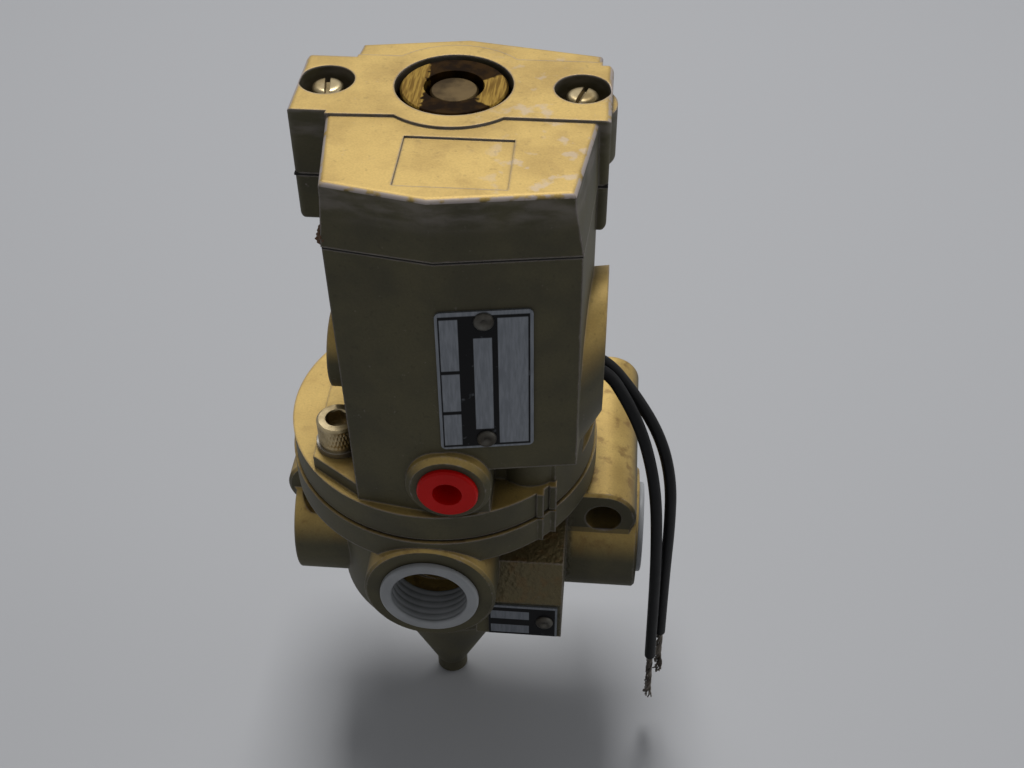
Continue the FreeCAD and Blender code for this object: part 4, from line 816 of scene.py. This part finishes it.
# Bare alloy on the cover: broken lines where the rounded arris turns from the top to the side, a smear on the
# front facets just below it, and thin patches on the top's right half.
def coverWear(tree, wear):
    x, _, z = heights(tree)
    setup = wearSetup
    geometry = addNode(tree, "ShaderNodeNewGeometry")
    parts = addNode(tree, "ShaderNodeSeparateXYZ")
    tree.links.new(geometry.outputs["Normal"], parts.inputs[0])
    lean = parts.outputs["Z"]
    broken = ramp(tree, cloud(tree, *setup["brokenCloud"]), *setup["brokenRange"])
    arris = product(tree, ramp(tree, lean, *setup["arrisFrom"]), ramp(tree, lean, *setup["arrisTo"], 1.0, 0.0),
                    broken, ramp(tree, z, *setup["arrisHigh"]), wear["arris"])
    smear = product(tree, ramp(tree, lean, *setup["smearLean"]), ramp(tree, z, *setup["smearHigh"]),
                    ramp(tree, cloud(tree, *setup["smearCloud"]), *setup["smearRange"]), wear["smear"])
    patches = product(tree, ramp(tree, lean, *setup["patchLean"]), ramp(tree, x, *setup["patchPlace"]),
                      ramp(tree, cloud(tree, *setup["patchCloud"]), *setup["patchRange"]), wear["patches"])
    return maths(tree, "MAXIMUM", maths(tree, "MAXIMUM", arris, smear), patches)


metalSetup = {"grain": 0.25, "relief": 0.01 * mm, "rounding": 0.25 * mm, "tarnishDull": 0.12, "bump": 0.5}
plasticSetup = {"rounding": 0.3 * mm, "grainRange": (0.3, 0.7), "lowDull": 0.08, "bump": 0.4}


# Plain metal with cloudy tarnish and a fine grain.
def makeMetal(name, tone, dark, rough, metal=1.0):
    made, tree, shader = newMaterial(name)
    skin = useGroup(tree, "castSkin", Grain=metalSetup["grain"])
    edges = useGroup(tree, "edges", Radius=metalSetup["rounding"])
    tree.links.new(blend(tree, skin["Mottle"], colour(*dark), colour(*tone)), shader.inputs["Base Color"])
    dull = ramp(tree, skin["Mottle"], 0.0, 1.0, rough + metalSetup["tarnishDull"], rough)
    tree.links.new(dull, shader.inputs["Roughness"])
    shader.inputs["Metallic"].default_value = metal
    raised = bump(tree, skin["Height"], edges["Normal"], metalSetup["bump"], metalSetup["relief"])
    tree.links.new(raised, shader.inputs["Normal"])
    return made


# Moulded plastic or rubber: a slight cloudiness and a soft grain.
def makePlastic(name, tone, dark, rough, grain=0.5, relief=0.01 * mm, gloss=0.5):
    made, tree, shader = newMaterial(name)
    shader.inputs["Specular IOR Level"].default_value = gloss
    skin = useGroup(tree, "castSkin", Grain=grain)
    edges = useGroup(tree, "edges", Radius=plasticSetup["rounding"])
    tree.links.new(blend(tree, skin["Mottle"], colour(*dark), colour(*tone)), shader.inputs["Base Color"])
    dull = ramp(tree, skin["Height"], *plasticSetup["grainRange"], rough + plasticSetup["lowDull"], rough)
    tree.links.new(dull, shader.inputs["Roughness"])
    raised = bump(tree, skin["Height"], edges["Normal"], plasticSetup["bump"], relief)
    tree.links.new(raised, shader.inputs["Normal"])
    return made


capSetup = {
    "middle": (0.0, -29.0), "gold": (158, 127, 58), "line": (112, 84, 32), "brown": (52, 35, 13),
    "dark": (30, 19, 8), "shine": 0.02, "rounding": 0.25 * mm, "bump": 0.4, "relief": 0.03 * mm,
    # from varnish to bright: roughness and metal
    "rough": (0.5, 0.36), "metal": (0.0, 0.75),
    # where the bright parts begin and end, in millimetres from the middle
    "jitter": 3.0, "left": (-6.1, -5.5), "right": (4.8, 5.8),
    "upperSlope": 0.7, "upper": (-1.8, -1.0), "lowerSlope": 0.75, "lower": (-1.9, -1.1),
    # clouds: size, detail, stretch; and the ranges cut from them
    "jitterCloud": (1.6, 5.0), "lineCloud": (0.35, 2.0, (1.0, 14.0, 1.0)), "lineRange": (0.35, 0.65),
    "varnishCloud": (3.0, 6.0), "varnishRange": (0.4, 0.62),
}


# The cap's flat ring: worn bright on a segment at the left and a ragged wedge at the right, and elsewhere
# covered with brown varnish. Fine lines run across the bright parts, along y.
def makeCapSteel(name, setup):
    made, tree, shader = newMaterial(name)
    x, y, _ = heights(tree)
    x = maths(tree, "SUBTRACT", x, setup["middle"][0])
    y = maths(tree, "SUBTRACT", y, setup["middle"][1])
    stray = maths(tree, "SUBTRACT", cloud(tree, *setup["jitterCloud"]), 0.5)
    stray = maths(tree, "MULTIPLY", stray, setup["jitter"])
    left = ramp(tree, maths(tree, "ADD", x, stray), *setup["left"], 1.0, 0.0)
    upper = maths(tree, "SUBTRACT", y, maths(tree, "MULTIPLY", x, setup["upperSlope"]))
    upper = ramp(tree, maths(tree, "ADD", upper, stray), *setup["upper"], 1.0, 0.0)
    lower = maths(tree, "ADD", y, maths(tree, "MULTIPLY", x, setup["lowerSlope"]))
    lower = ramp(tree, maths(tree, "ADD", lower, stray), *setup["lower"])
    right = product(tree, upper, lower, ramp(tree, maths(tree, "ADD", x, stray), *setup["right"]))
    bright = maths(tree, "MAXIMUM", left, right)
    lines = cloud(tree, *setup["lineCloud"])
    gold = blend(tree, ramp(tree, lines, *setup["lineRange"]), colour(*setup["line"]), colour(*setup["gold"]))
    thin = ramp(tree, cloud(tree, *setup["varnishCloud"]), *setup["varnishRange"])
    brown = blend(tree, thin, colour(*setup["dark"]), colour(*setup["brown"]))
    tree.links.new(blend(tree, bright, brown, gold), shader.inputs["Base Color"])
    tree.links.new(ramp(tree, bright, 0.0, 1.0, *setup["rough"]), shader.inputs["Roughness"])
    tree.links.new(ramp(tree, bright, 0.0, 1.0, *setup["metal"]), shader.inputs["Metallic"])
    shader.inputs["Specular IOR Level"].default_value = setup["shine"]
    edges = useGroup(tree, "edges", Radius=setup["rounding"])
    raised = bump(tree, lines, edges["Normal"], setup["bump"], setup["relief"])
    tree.links.new(raised, shader.inputs["Normal"])
    return made


# printed plates: fields as shares of the plate's width from its left and of its height from its foot

plateSetup = {
    "silver": (140, 144, 150), "brushed": (124, 128, 134), "black": (9, 9, 11), "gloss": 0.2,
    "metal": 0.75, "rough": (0.42, 0.36), "fieldSoft": 0.004, "rubShare": 0.3,
    "rubCloud": (2.2, 6.0), "rubRange": (0.62, 0.72),
    "brushCloud": (0.5, 3.0, (1.0, 1.0, 10.0)), "brushRange": (0.3, 0.7),
    "dentCloud": (5.0, 2.0), "dentBump": 0.5, "dentDeep": 0.12 * mm,
    "dataPlate": {
        "inside": (0.03, 0.965, 0.015, 0.972),
        "fields": [(0.045, 0.232, 0.59, 0.95), (0.045, 0.232, 0.29, 0.565), (0.045, 0.232, 0.03, 0.265),
                   (0.385, 0.575, 0.145, 0.815), (0.635, 0.945, 0.03, 0.95)],
    },
    "bodyPlate": {
        "inside": (0.0, 0.97, 0.0, 0.93),
        "fields": [(0.03, 0.59, 0.54, 0.81), (0.03, 0.59, 0.06, 0.33)],
    },
}


# A field: one inside left to right and low to high, with edges a little soft.
def makeFieldGroup():
    sides = [(side, "NodeSocketFloat", 0.5) for side in ("Left", "Right", "Low", "High")]
    group, source, sink = newGroup(
        "printField", [("Place", "NodeSocketVector", (0.0, 0.0, 0.0))] + sides, [("Mask", "NodeSocketFloat")])
    parts = addNode(group, "ShaderNodeSeparateXYZ")
    group.links.new(source.outputs["Place"], parts.inputs[0])
    found = []
    for first, second in (("X", "Left"), ("Right", "X"), ("Y", "Low"), ("High", "Y")):
        ends = [parts.outputs[n] if n in "XY" else source.outputs[n] for n in (first, second)]
        gap = maths(group, "SUBTRACT", *ends)
        found.append(ramp(group, gap, -plateSetup["fieldSoft"], plateSetup["fieldSoft"]))
    group.links.new(product(group, *found), sink.inputs["Mask"])
    return group


groups["printField"] = makeFieldGroup()


# A UV map on a plate: its level and upright distances as shares of its whole width and height.
def layPlate(node):
    level, upright, out = nodeAxes(node)
    points = nodePoints(node)
    across = np.stack([points @ level, points @ upright], 1)
    across = (across - across.min(0)) / (across.max(0) - across.min(0))
    corners = np.empty(len(node.data.loops), int)
    node.data.loops.foreach_get("vertex_index", corners)
    layer = node.data.uv_layers.new(name="print")
    layer.data.foreach_set("uv", across[corners].astype(np.float32).ravel())


# Anodised foil with a black print that leaves silver fields; the foil is brushed and lightly rubbed.
def makePlate(name, setup, plate):
    made, tree, shader = newMaterial(name)
    place = addNode(tree, "ShaderNodeUVMap", uv_map="print").outputs[0]

    def field(sides):
        node = useNode(tree, "printField")
        tree.links.new(place, node.inputs["Place"])
        for socket, value in zip(("Left", "Right", "Low", "High"), sides):
            node.inputs[socket].default_value = value
        return node.outputs["Mask"]

    silver = maths(tree, "SUBTRACT", 1.0, field(plate["inside"]))
    for sides in plate["fields"]:
        silver = maths(tree, "MAXIMUM", silver, field(sides))
    rubbed = ramp(tree, cloud(tree, *setup["rubCloud"]), *setup["rubRange"])
    silver = maths(tree, "MAXIMUM", silver, maths(tree, "MULTIPLY", rubbed, setup["rubShare"]))
    grain = ramp(tree, cloud(tree, *setup["brushCloud"]), *setup["brushRange"])
    foil = blend(tree, grain, colour(*setup["brushed"]), colour(*setup["silver"]))
    tree.links.new(blend(tree, silver, colour(*setup["black"]), foil), shader.inputs["Base Color"])
    tree.links.new(maths(tree, "MULTIPLY", silver, setup["metal"]), shader.inputs["Metallic"])
    tree.links.new(ramp(tree, silver, 0.0, 1.0, *setup["rough"]), shader.inputs["Roughness"])
    shader.inputs["Specular IOR Level"].default_value = setup["gloss"]
    dents = cloud(tree, *setup["dentCloud"])
    tree.links.new(bump(tree, dents, None, setup["dentBump"], setup["dentDeep"]), shader.inputs["Normal"])
    return made


for plateNode in ("data_plate", "body_plate"):
    layPlate(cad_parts[plateNode])

# shares of bare metal on sharp edges, on the cover's arris, below it and on its top, of painted shade in inner
# corners and of brown stain on upward faces
coverWearing = {"edges": 0.8, "arris": 0.85, "smear": 0.22, "patches": 0.38, "corner": 0.2, "stain": 0.12}
housingWearing = {"edges": 0.55, "corner": 0.45, "stain": 0.15}
bodyWearing = {"edges": 0.5, "corner": 0.5, "stain": 0.55}
# the pad's box: coarse sand grain and a painted shade in the side's olive tone
padBox = ((9.0, 27.0), (-72.1, -50.0), (-30.0, 2.0))
finishes = {
    "coverCasting": makeCasting("coverCasting", castingFinish, coverWearing),
    "housingCasting": makeCasting("housingCasting", castingFinish, housingWearing),
    "bodyCasting": makeCasting("bodyCasting", castingFinish, bodyWearing, padBox),
    "gasketFibre": makePlastic("gasketFibre", (34, 30, 26), (22, 20, 18), 0.8),
    "dataFoil": makePlate("dataFoil", plateSetup, plateSetup["dataPlate"]),
    "bodyFoil": makePlate("bodyFoil", plateSetup, plateSetup["bodyPlate"]),
    "rivetMetal": makeMetal("rivetMetal", (112, 110, 104), (70, 66, 60), 0.42),
    "bareMetal": makeMetal("bareMetal", (150, 146, 138), (110, 104, 96), 0.4),
    "platedSteel": makeMetal("platedSteel", (196, 178, 140), (120, 104, 72), 0.32),
    "capSteel": makeCapSteel("capSteel", capSetup),
    "buttonSteel": makeMetal("buttonSteel", (92, 76, 50), (52, 42, 28), 0.45),
    "stainless": makeMetal("stainless", (178, 178, 174), (150, 150, 146), 0.3),
    "brass": makeMetal("brass", (186, 154, 90), (140, 110, 60), 0.35),
    "brownVarnish": makePlastic("brownVarnish", (92, 62, 34), (52, 36, 22), 0.5, 1.2, 0.1 * mm),
    "sealRubber": makePlastic("sealRubber", (30, 30, 30), (20, 20, 20), 0.6),
    "guardPlastic": makePlastic("guardPlastic", (168, 170, 172), (150, 152, 154), 0.4),
    "redPlastic": makePlastic("redPlastic", (214, 14, 8), (200, 8, 4), 0.3, gloss=0.16),
    "winding": makePlastic("winding", (120, 60, 30), (90, 40, 20), 0.45),
    "leadRubber": makePlastic("leadRubber", (14, 14, 15), (9, 9, 10), 0.5, gloss=0.25),
    "tinnedCopper": makeMetal("tinnedCopper", (138, 130, 120), (50, 42, 34), 0.4, 0.9),
}

dressing = {
    "top_cover": "coverCasting", "pilot_housing": "housingCasting", "valve_body": "bodyCasting",
    "cover_gasket": "gasketFibre", "body_gasket": "gasketFibre", "data_plate": "dataFoil",
    "body_plate": "bodyFoil", "coil_frame": "bareMetal", "lock_washers": "bareMetal", "piston": "bareMetal",
    "stem_nut": "bareMetal", "solenoid_cap": "capSteel",
    "override_button": "buttonSteel", "guide_tube": "stainless", "plunger": "stainless",
    "plunger_spring": "stainless", "pole_piece": "stainless", "push_pin": "stainless",
    "return_spring": "stainless", "valve_stem": "stainless", "pilot_seat": "brass", "seat_cage": "brass",
    "exhaust_poppet": "sealRubber", "inlet_poppet": "sealRubber", "pilot_poppet": "sealRubber",
    "piston_seal": "sealRubber", "pilot_port_plug": "redPlastic", "solenoid_coil": "winding",
}


# One finish on a piece in place of what it had.
def dress(piece, finish):
    piece.data.materials.clear()
    piece.data.materials.append(finishes[finish])


for node, finish in dressing.items():
    dress(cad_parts[node], finish)
for wire, strands in leads.values():
    dress(wire, "leadRubber")
    dress(strands, "tinnedCopper")
for pieces, finish in (([bolts, screws], "platedSteel"), (rivets, "rivetMetal"), (guards, "guardPlastic"),
                       ([scrap], "brownVarnish")):
    for piece in pieces:
        dress(piece, finish)
print("finishes given")
